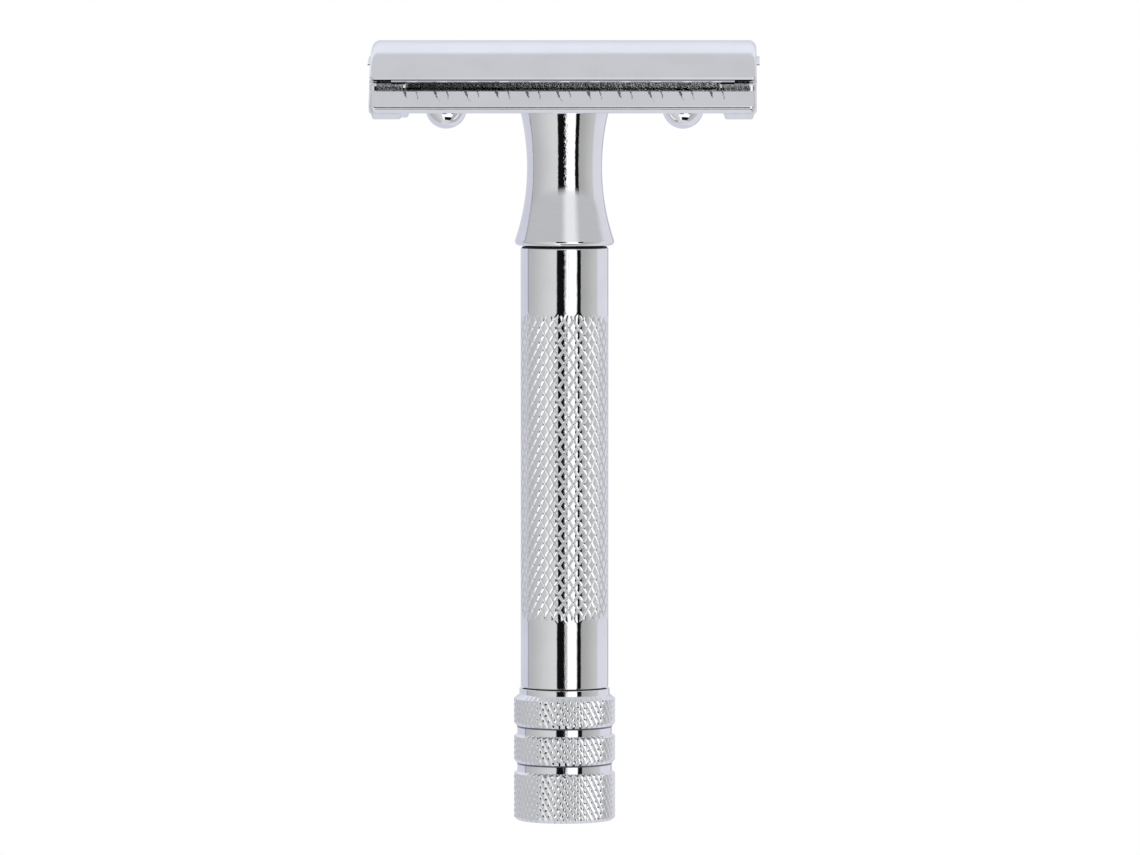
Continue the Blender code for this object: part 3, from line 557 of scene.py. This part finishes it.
# Handle tube: drawn brass tube, plated. The grip between the two plain bands is rolled with larger,
# flat-topped diamonds whose grooves start shallow at both ends.
tube_radius = 4.85 * MM
tube_bore = 3.8 * MM
foot_bevel = 0.07 * MM
top_bevel = 0.2 * MM
tube_low, tube_high = (corner.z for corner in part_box("handle_tube"))
grip_low = 22.2 * MM
grip_high = 56.05 * MM
grip_start = grip_low - 0.3 * MM
grip_end = grip_high + 0.3 * MM
grip = knurled_band(
    grip_start, grip_end, knurled, radius=tube_radius, row_height=1.633 * MM, starts=28, cells=8,
    depth=0.145 * MM, flank=0.13, gather=1.4, second=1.0, pillow=0.3, fade_low=grip_low - 0.2 * MM,
    fade_high=grip_high + 0.2 * MM, fade_length=1.3 * MM,
)
tube_ends = ((grip_start, tube_low, foot_bevel), (grip_end, tube_high, -top_bevel))
for start, end, bevel in tube_ends:
    carry_on(grip, rim(grip, start), [
        (tube_radius, end + 2.0 * bevel),
        (tube_radius, end + 1.5 * bevel),
        (tube_radius - 0.1 * abs(bevel), end + bevel),
        (tube_radius - 0.9 * abs(bevel), end + 0.1 * bevel),
        (tube_radius - 1.1 * abs(bevel), end),
        (tube_bore, end),
    ])
bmesh.ops.bridge_loops(grip, edges=rim(grip, tube_low) + rim(grip, tube_high))
tube = put("handle_tube_knurled", grip, knurled, 20)
# painted shade: the tube's end faces and bore, where it meets the knob and the neck, are painted near
# black
paint(tube, joint_shade, lambda middle, out: abs(out.z) > 0.9 or middle.xy.length < 4.5 * MM)
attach(tube, "handle")
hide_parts("handle_tube")


# Neck: a waisted turned collar with a rounded rim over the tube, plated and polished. A spigot under it
# is pressed into the tube, and a rivet on top goes up into the base plate.


def fillet(points, radii, steps=6):
    """An outline whose corners are rounded, each to its own radius."""
    outline = []
    for i, (point, radius) in enumerate(zip(points, radii)):
        here = Vector(point)
        before = Vector(points[i - 1])
        after = Vector(points[(i + 1) % len(points)])
        if radius <= 0:
            outline.append((here.x, here.y))
            continue
        first = (before - here).normalized()
        second = (after - here).normalized()
        half = first.angle(second) / 2
        reach = radius / math.tan(half)
        centre = here + (first + second).normalized() * (radius / math.sin(half))
        start = here + first * reach - centre
        end = here + second * reach - centre
        sweep = start.angle_signed(end)
        for step in range(steps + 1):
            turned = Matrix.Rotation(-sweep * step / steps, 2) @ start
            outline.append((centre.x + turned.x, centre.y + turned.y))
    return outline


def lathe(profile, steps, closed=True):
    """A turned shape from (radius, height) points. An open profile runs from axis to axis."""
    shape = bmesh.new()
    points = [shape.verts.new((radius, 0, level)) for radius, level in profile]
    edges = [shape.edges.new(pair) for pair in zip(points, points[1:])]
    if closed:
        edges.append(shape.edges.new((points[-1], points[0])))
    bmesh.ops.spin(
        shape, geom=points + edges, cent=(0, 0, 0), axis=(0, 0, 1), angle=math.tau, steps=steps,
    )
    bmesh.ops.remove_doubles(shape, verts=shape.verts, dist=0.001 * MM)
    return shape


neck_low = tube_high + 0.12 * MM
neck_length = 14.7 * MM
waist_radius = 4.14 * MM
waist_level = 8.6 * MM
neck_bore = 3.35 * MM
bore_floor = 3.0 * MM
spigot_radius = 3.75 * MM
spigot_length = 6.0 * MM
rod_hole = 2.1 * MM


def neck_side(level):
    """Outer radius of the neck at a height over its rim."""
    rise = level - waist_level
    bend = (26.0 if rise > 0 else 25.0) * MM
    return waist_radius + bend - math.sqrt(bend**2 - rise**2)


neck_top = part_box("neck")[1].z - neck_low
rivet_height = 1.7 * MM
rivet_radius = 3.95 * MM
rim_round = 0.45 * MM
flare_end = 0.6 * MM
side_levels = [neck_length + (flare_end - neck_length) * i / 70 for i in range(71)]
neck_profile = [
    (neck_bore, neck_top),
    (rivet_radius, neck_top),
    (rivet_radius, neck_top - rivet_height),
    (neck_side(neck_length), neck_top - rivet_height),
]
neck_profile += [(neck_side(level), level) for level in side_levels]
rim_angle = math.asin(flare_end / rim_round - 1)
rim_middle = neck_side(flare_end) - rim_round * math.cos(rim_angle)
for i in range(1, 25):
    angle = rim_angle - (rim_angle + math.pi / 2) * i / 24
    neck_profile.append((rim_middle + rim_round * math.cos(angle), rim_round * (1 + math.sin(angle))))
neck_profile += [
    (spigot_radius, 0), (spigot_radius, -spigot_length), (rod_hole, -spigot_length),
    (rod_hole, bore_floor), (neck_bore, bore_floor),
]
neck_chrome = chrome("neck_chrome", (0.86, 0.865, 0.88), 0.015, 0.02, 220, lines=neck_low + 6.5 * MM)
neck = put("neck_turned", lathe([(r, z + neck_low) for r, z in neck_profile], 192), neck_chrome, 50)
# painted shade: the faces under the rim and the spigot, where the neck meets the tube, are painted near
# black
paint(neck, joint_shade, lambda middle, out: middle.z < neck_low + 0.02 * MM)
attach(neck, "handle")
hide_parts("neck")


# Base plate: a zinc casting, plated. Its hump carries the blade, and a guard bar runs along the front
# and the back, with slanted scallops that let lather through. Blocks close both ends.
bar_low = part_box("base_plate")[0].z + 0.65 * MM
bar_top = bar_low + 2.4 * MM
plate_half = 21.1 * MM
plate_front = 12.7 * MM
channel_half = 17.4 * MM
hump_depth = 9.3 * MM
bend_radius = 22.0 * MM
bend_angle = 11.05 / 22
bend_centre = bar_top + 1.03 * MM - bend_radius * math.cos(bend_angle)
hump_radius = 21.9 * MM


def bent(radius, across):
    """Height of a surface of the blade's bend, at a distance from the middle."""
    return bend_centre + math.sqrt(radius**2 - across**2)


def end_inset(distance, radius):
    """How far a rounded edge draws in, at a distance from the end."""
    if distance >= radius:
        return 0.0
    return radius - math.sqrt(radius**2 - (radius - distance) ** 2)


def stations(half, step, edge, finest):
    """Places along X from end to end, close together near the ends."""
    places = [half - edge * (1 - math.cos(math.pi / 2 * i / finest)) for i in range(finest)]
    inner = half - edge
    count = round(2 * inner / step)
    middle = [inner - 2 * inner * i / count for i in range(count + 1)]
    return places + middle + [-place for place in reversed(places)]


def loft(places, section, crescent=False):
    """A closed shape through one (depth, height) outline for each place along X.

    The ends of a crescent are closed in strips from one side of its outline to the other.
    """
    shape = bmesh.new()
    rows = [[shape.verts.new((x, y, z)) for y, z in section(x)] for x in places]
    for first, second in zip(rows, rows[1:]):
        for i in range(len(first)):
            j = (i + 1) % len(first)
            shape.faces.new((first[i], first[j], second[j], second[i]))
    for row in (rows[0], rows[-1]):
        if not crescent:
            shape.faces.new(row)
            continue
        facing = row[::-1]
        for i in range(len(row) // 2 - 1):
            shape.faces.new((row[i], row[i + 1], facing[i + 1], facing[i]))
    bmesh.ops.recalc_face_normals(shape, faces=shape.faces)
    return shape


def slab(outline, place):
    """A closed prism: outline points, carried to both ends by place(point, end)."""
    shape = bmesh.new()
    ends = [[shape.verts.new(place(point, end)) for point in outline] for end in (0, 1)]
    for i in range(len(outline)):
        j = (i + 1) % len(outline)
        shape.faces.new((ends[0][i], ends[0][j], ends[1][j], ends[1][i]))
    shape.faces.new(ends[0])
    shape.faces.new(ends[1])
    bmesh.ops.recalc_face_normals(shape, faces=shape.faces)
    return shape


def tool(name, shape):
    """A cutter: an object that shapes a piece and is removed afterwards."""
    bmesh.ops.recalc_face_normals(shape, faces=shape.faces)
    mesh = bpy.data.meshes.new(name)
    shape.to_mesh(mesh)
    shape.free()
    obj = bpy.data.objects.new(name, mesh)
    scene.collection.objects.link(obj)
    return obj


def carve(piece, cutters, operation="DIFFERENCE"):
    """Cuts or joins the tools and removes them."""
    for cutter in cutters:
        modifier = piece.modifiers.new("carve", "BOOLEAN")
        modifier.operation = operation
        modifier.object = cutter
        graph = bpy.context.evaluated_depsgraph_get()
        mesh = bpy.data.meshes.new_from_object(piece.evaluated_get(graph))
        piece.modifiers.remove(modifier)
        old = piece.data
        piece.data = mesh
        bpy.data.meshes.remove(old)
        bpy.data.objects.remove(cutter)


scallop_count = 11
scallop_pitch = 3.33 * MM
scallop_half = 0.75 * MM
scallop_depth = 0.33 * MM
scallop_reach = 0.76
scallop_lean = 0.7 * MM
face_run = 1.3 * MM
face_height = 1.74 * MM
bar_edge = plate_front - face_run
bar_land = 0.85 * MM
plate_corner = 0.7 * MM
plate_edge = 0.25 * MM


def scallop(x, level):
    """The scallop at a place on the front bar: its depth, how far down it the place is, and the side."""
    down = max(0.0, (bar_top - level) / face_height)
    along = down / scallop_reach
    if along >= 1 or level > bar_top + 0.01 * MM:
        return 0.0, 1.0, 0
    x -= scallop_lean * down
    number = round(x / scallop_pitch)
    across = x - number * scallop_pitch
    half = scallop_half * math.sqrt(1 - along**2.2)
    if abs(number) > scallop_count // 2 or abs(across) >= half:
        return 0.0, 1.0, 0
    # the left wall slopes and shortens downwards, and the right one is steep
    left_wall = max(0.04, 0.4 - 0.56 * along) * MM
    right_wall = (0.14 - 0.1 * along) * MM
    rise = min(1, (across + half) / left_wall, (half - across) / right_wall)
    side = 0
    if rise < 0.93:
        side = 1 if across > 0 else -1
    return scallop_depth * (1 - along) * rise, along, side


def scalloped(point):
    """A point of the front bar, pressed back where it lies in a scallop."""
    behind = max(0.0, point.y + bar_edge) / bar_land
    press = scallop(point.x, point.z)[0] * max(0.0, 1 - behind)
    return point + Vector((0, press, 0))


def plate_outline():
    """Half of the plate's (depth, height) outline, from under the bar up to the hump's edge."""
    top = bar_edge
    inner = top - bar_land
    wall = 0.97 * MM
    corners = [
        (plate_front - 3.5 * MM, bar_low), (plate_front - 0.5 * MM, bar_low),
        (plate_front, bar_low + 0.66 * MM), (top, bar_top), (inner, bar_top), (inner, bar_top + wall),
    ]
    rounds = [0, 0, 0.3 * MM, 0.3 * MM, 0.16 * MM, 0.06 * MM, 0.45 * MM, 0]
    half = fillet([(0, bar_low)] + corners + [(inner - MM, bar_top + wall)], rounds)
    half = half[1:-1]
    dense = []
    for first, second in zip(half, half[1:]):
        gap = math.dist(first, second)
        pieces = max(1, round(gap / (0.14 * MM)))
        run = second[0] - first[0]
        rise = second[1] - first[1]
        dense += [(first[0] + run * i / pieces, first[1] + rise * i / pieces) for i in range(pieces)]
    dense.append(half[-1])
    return dense


bar_half = plate_outline()
hump_edge = bar_half[-1][0] - 0.2 * MM
hump_places = [hump_edge * (1 - 2 * i / 60) for i in range(61)]
hump_points = [(across, bent(hump_radius, across)) for across in hump_places]


def plate_section(x):
    """The plate's whole outline at a place along X, rounded in towards the ends."""
    distance = plate_half - abs(x)
    corner = end_inset(distance, plate_corner)
    soft = end_inset(distance, plate_edge)
    outline = []
    for side in (-1, 1):
        points = []
        for depth, level in bar_half:
            weight = min(1, max(0, (depth - 9.5 * MM) / (1.5 * MM)))
            drawn = depth - corner * weight
            point = scalloped(Vector((-side * x, -drawn, level)))
            middle = bar_low + 2 * MM
            shift = soft * max(-1, min(1, (point.z - middle) / (1.2 * MM)))
            points.append((-side * point.y, point.z - shift))
        outline += points if side < 0 else points[::-1]
        if side < 0:
            outline += [(-depth, level - soft) for depth, level in hump_points]
    return outline


plate_shape = loft(stations(plate_half, 0.1 * MM, plate_corner, 10), plate_section)
plate = put("base_plate_cast", plate_shape, polished, 40)
foot_place = Vector((19.175 * MM, 10.4 * MM, bar_low - 0.15 * MM))
foot_size = Matrix.Diagonal((3.65 * MM, 3.6 * MM, 1.0 * MM, 1))
foot_taper = Vector((0.35 * MM, 0.7 * MM))
foot_round = 0.14 * MM
feet = bmesh.new()
for side in (-1, 1):
    for end in (-1, 1):
        place = Vector((side * foot_place.x, end * foot_place.y, foot_place.z))
        placed = Matrix.Translation(place) @ foot_size
        block = bmesh.ops.create_cube(feet, size=1, matrix=placed)["verts"]
        for vert in block:
            if vert.co.z < bar_low:
                vert.co.x += math.copysign(foot_taper.x, place.x - vert.co.x)
                vert.co.y += math.copysign(foot_taper.y, place.y - vert.co.y)
        edges = {edge for vert in block for edge in vert.link_edges}
        bmesh.ops.bevel(
            feet, geom=list(edges), offset=foot_round, segments=4, profile=0.5, affect="EDGES",
        )
carve(plate, [tool("feet", feet)], "UNION")
flare = 0.5 * MM
channel_reach = channel_half - 0.45 * MM
channel_front = 10.55 * MM
right_end = []
for i in range(11):
    angle = math.pi / 2 * i / 10
    right_end.append((
        channel_reach + flare - flare * math.cos(angle), channel_front - flare + flare * math.sin(angle),
    ))
left_end = [(-x, y) for x, y in reversed(right_end)]
channel_outline = [(-channel_reach, hump_depth), (channel_reach, hump_depth)] + right_end + left_end
channels = []
for side in (-1, 1):
    channels.append(tool("channel", slab(
        channel_outline, lambda point, end: (point[0], side * point[1], bar_low + (1.1 + 8 * end) * MM)
    )))
carve(plate, channels)


def box_tool(name, boxes):
    """Plain block cutters in one tool."""
    shape = bmesh.new()
    for low, high in boxes:
        low, high = Vector(low), Vector(high)
        size = Matrix.Diagonal((*(high - low), 1))
        bmesh.ops.create_cube(shape, size=1, matrix=Matrix.Translation((low + high) / 2) @ size)
    return tool(name, shape)


def bore_tool(name, bores):
    """Round cutters along Z in one tool."""
    shape = bmesh.new()
    for x, radius, low, high in bores:
        bmesh.ops.create_cone(
            shape, cap_ends=True, segments=64, radius1=radius, radius2=radius, depth=high - low,
            matrix=Matrix.Translation((x, 0, (low + high) / 2)),
        )
    return tool(name, shape)


slot_count = 4
slot_web = 1.3 * MM
slot_near = 9.5 * MM
slot_far = 10.4 * MM
slot_pitch = (2 * channel_half - 0.65 * MM) / slot_count
slot_half = (slot_pitch - slot_web) / 2
lather_slots = []
for side in (-1, 1):
    for number in range(slot_count):
        middle = (number - (slot_count - 1) / 2) * slot_pitch
        near, far = sorted((side * slot_near, side * slot_far))
        low = (middle - slot_half, near, bar_low - MM)
        lather_slots.append((low, (middle + slot_half, far, bar_top)))
pin_place = 13.05 * MM
pocket = ((-16.3 * MM, -8.5 * MM, bar_low - MM), (16.3 * MM, 8.5 * MM, bar_low + 3.3 * MM))
above_head = bar_low + 12 * MM
rivet_hole = 4.0 * MM
pin_hole = 2.33 * MM
plate_bores = [(0, rivet_hole, bar_low, above_head)]
plate_bores += [(side * pin_place, pin_hole, bar_low, above_head) for side in (-1, 1)]
carve(plate, [
    box_tool("pocket", [pocket]), box_tool("slots", lather_slots), bore_tool("bores", plate_bores),
])
smooth(plate.data, 40)
# the channel's walls stay as cast, with painted shade darkening them towards the -X end
as_cast_with_shade = cast_metal_with_shade("cast_chrome_with_shade", (0.62, 0.625, 0.64), channel_reach)
paint(plate, as_cast_with_shade, lambda middle, out: (
    8.9 * MM < abs(middle.y) < 10.57 * MM and middle.z > bar_low + 1.05 * MM and abs(out.x) < 0.1
    and abs(out.z) < 0.95 and abs(middle.x) < 20.3 * MM
))


def scallop_wall(middle, out, wall, reach):
    """Whether a face stands high on the left (-1) or the right (1) wall of a scallop, where shade is
    painted.
    """
    if abs(middle.y) < bar_edge - 0.2 * MM or out.z < -0.2:
        return False
    depth, along, side = scallop(-math.copysign(1, middle.y) * middle.x, middle.z)
    return depth > 0 and side == wall and along < reach


# painted shade: the scallops' left walls are painted dark high up and mid-grey lower down, and their
# right walls mid-grey in the upper part
painted_half_shade = chrome("half_shade_chrome", (0.48, 0.49, 0.52), 0.2, 0.1, 300)
paint(plate, shadow_paint, lambda middle, out: scallop_wall(middle, out, -1, 0.5))
paint(plate, painted_half_shade, lambda middle, out: (
    scallop_wall(middle, out, 1, 0.62)
    or scallop_wall(middle, out, -1, 0.8) and middle.z < bar_top - 0.6 * MM
))
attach(plate, "handle")
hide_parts("base_plate")


# Blade: thin hardened strip, bent over the hump. Its long slot passes the stud and the pins, and its
# two long edges are ground bright.
blade_half = 21.45 * MM
blade_thick = 0.1 * MM
outer_radius = bend_radius + blade_thick / 2
inner_radius = bend_radius - blade_thick / 2
angles = [math.pi / 2 - bend_angle + 2 * bend_angle * i / 64 for i in range(65)]
outer = [(outer_radius * math.cos(a), bend_centre + outer_radius * math.sin(a)) for a in angles]
inner = [(inner_radius * math.cos(a), bend_centre + inner_radius * math.sin(a)) for a in angles]
ground = chrome("ground_blade_steel", (0.78, 0.79, 0.82), 0.12, 0.06, 300)
blade_shape = slab(
    outer + inner[::-1], lambda point, end: ((2 * end - 1) * blade_half, point[0], point[1])
)
blade = put("razor_blade_bent", blade_shape, ground, 30)
tab_start = 18.7 * MM
tab_half = 6.19 * MM
past_blade = 30 * MM
corner_boxes = []
for side in (-1, 1):
    for end in (-1, 1):
        xs = sorted((side * tab_start, side * past_blade))
        ys = sorted((end * tab_half, end * past_blade))
        corner_boxes.append(((xs[0], ys[0], bar_low), (xs[1], ys[1], above_head)))


def window(half_length, half_width, corner, middle):
    """A rounded opening through the blade."""
    points = [
        (middle - half_length, -half_width), (middle + half_length, -half_width),
        (middle + half_length, half_width), (middle - half_length, half_width),
    ]
    outline = fillet(points, [corner] * 4, 10)
    return tool("window", slab(outline, lambda point, end: (*point, above_head if end else bar_low)))


long_slot = (18.6 * MM, 1.5 * MM, 1.0 * MM)
pin_window = (3.98 * MM, 2.53 * MM, 2.48 * MM)
stud_hole = 3.15 * MM
carve(blade, [
    box_tool("corners", corner_boxes),
    window(*long_slot, 0),
    window(*pin_window, -pin_place),
    window(*pin_window, pin_place),
    bore_tool("stud_hole", [(0, stud_hole, bar_low, above_head)]),
])
smooth(blade.data, 30)
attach(blade, "blade")
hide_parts("razor_blade")


# Cap: a domed plate, cast, polished and plated. Its ends are rounded over and its long edges end in a
# thin lip just short of the blade's edge.
cap_half = 21.1 * MM
cap_chord = 10.3 * MM
cap_inner = 22.1 * MM
cap_corner = 0.5 * MM
cap_round = 0.8 * MM
cap_steps = 80
dome_share = 0.999
lip_reach = 1.007
cap_edge = bent(cap_inner, cap_chord) + 0.3 * MM
cap_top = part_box("top_cap")[1].z - 0.01 * MM
dome_drop = cap_top - cap_edge
dome_radius = (cap_chord**2 + dome_drop**2) / (2 * dome_drop)


def cap_section(x):
    """The cap's (depth, height) outline at a place along X. Its ends are rounded most at the top."""
    distance = cap_half - abs(x)
    chord = cap_chord - end_inset(distance, cap_corner)
    sink = end_inset(distance, cap_round)
    top = []
    for i in range(cap_steps + 1):
        across = cap_chord * math.sin(math.pi / 2 * (1 - 2 * i / cap_steps) * dome_share)
        level = cap_top - dome_radius + math.sqrt(dome_radius**2 - across**2)
        top.append((across * chord / cap_chord, level - sink * ((level - cap_edge) / dome_drop) ** 3))
    bottom = []
    for i in range(cap_steps + 1):
        across = -chord * (1 - 2 * i / cap_steps) * lip_reach
        bottom.append((across, bent(cap_inner, across)))
    return top + bottom


cap_places = stations(cap_half, 0.5 * MM, cap_round, 24)
cap = put("top_cap_domed", loft(cap_places, cap_section, True), polished, 40)
underside = bend_centre + cap_inner
boss_radius = 2.8 * MM
boss = bore_tool("boss", [(0, boss_radius, underside - 1.0 * MM, underside + 0.9 * MM)])
carve(cap, [boss], "UNION")
stud_socket = 1.65 * MM
pin_socket = 1.25 * MM
socket_end = underside + 0.7 * MM
sockets = [(0, stud_socket, bar_top, socket_end)]
sockets += [(side * pin_place, pin_socket, bar_top, socket_end) for side in (-1, 1)]
carve(cap, [bore_tool("sockets", sockets)])
smooth(cap.data, 40)
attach(cap, "cap")
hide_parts("top_cap")


# Cap stud: steel, with a right-hand thread that the draw nut pulls on. Its plain shank is pressed
# into the boss under the cap.
stud_low, stud_high = (corner.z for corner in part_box("cap_stud"))
pitch = 0.8 * MM
thread_steps = 48
thread_top = stud_low + 9.5 * pitch
stud_radius = 2.5 * MM
core_radius = 2.01 * MM
crest_half = pitch / 16
core_half = crest_half + (stud_radius - core_radius) * math.tan(math.radians(30))
thread = bmesh.new()
section = [
    (core_radius, -core_half), (stud_radius, -crest_half), (stud_radius, crest_half),
    (core_radius, core_half), (core_radius, pitch - core_half),
]
points = [thread.verts.new((radius, 0, stud_low - 2 * pitch + level)) for radius, level in section]
edges = [thread.edges.new(pair) for pair in zip(points, points[1:])]
turns = 13
bmesh.ops.spin(
    thread, geom=points + edges, cent=(0, 0, 0), axis=(0, 0, 1), steps=turns * thread_steps,
    dvec=(0, 0, pitch / thread_steps), angle=math.tau * turns,
)
bmesh.ops.remove_doubles(thread, verts=thread.verts, dist=0.001 * MM)
for level, side in ((stud_low, -1), (thread_top + pitch / 2, 1)):
    everything = thread.verts[:] + thread.edges[:] + thread.faces[:]
    bmesh.ops.bisect_plane(
        thread, geom=everything, plane_co=(0, 0, level), plane_no=(0, 0, side), clear_outer=True,
    )
bmesh.ops.holes_fill(thread, edges=[edge for edge in thread.edges if edge.is_boundary])
threaded = inner_metal("cut_thread_steel", (0.66, 0.67, 0.69), 0.14, 8000)
stud = put("cap_stud_threaded", thread, threaded, 35)
shank_radius = 1.6 * MM
shoulder_radius = 2.6 * MM
shoulder = underside - 1.05 * MM
edge_break = 0.1 * MM
shank = [
    (0, stud_high), (shank_radius - edge_break, stud_high), (shank_radius, stud_high - edge_break),
    (shank_radius, shoulder), (shoulder_radius - edge_break, shoulder),
    (shoulder_radius, shoulder - edge_break), (shoulder_radius, thread_top + edge_break),
    (shoulder_radius - edge_break, thread_top), (0, thread_top),
]
carve(stud, [tool("shank", lathe(shank, 64, False))], "UNION")
smooth(stud.data, 35)
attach(stud, "cap")
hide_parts("cap_stud")


# Locating pins: two round-ended posts, turned, polished and plated, with shanks pressed into the cap.
# They pass through the blade and the plate and keep the three in line.
pin_radius = 2.2 * MM
dome_reach = 2.28 * MM
pin_shank = 1.2 * MM
for name, side in (("locating_pin_left", -1), ("locating_pin_right", 1)):
    pin_low, pin_high = (corner.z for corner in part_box(name))
    step = bent(cap_inner, pin_radius) - 0.05 * MM
    profile = [
        (0, pin_high), (pin_shank - edge_break, pin_high), (pin_shank, pin_high - edge_break),
        (pin_shank, step), (pin_radius - 0.08 * MM, step), (pin_radius, step - 0.08 * MM),
    ]
    tip = pin_low + 0.16 * MM
    wide = math.asin(pin_radius / dome_reach)
    tilts = [wide * (1 - i / 28) for i in range(28)]
    profile += [(dome_reach * math.sin(a), tip + dome_reach * (1 - math.cos(a))) for a in tilts]
    profile.append((0, tip))
    shape = lathe(profile, 72, False)
    bmesh.ops.translate(shape, verts=shape.verts, vec=(side * pin_place, 0, 0))
    pin = put(name + "_turned", shape, polished, 50)
    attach(pin, "cap")
    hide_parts(name)
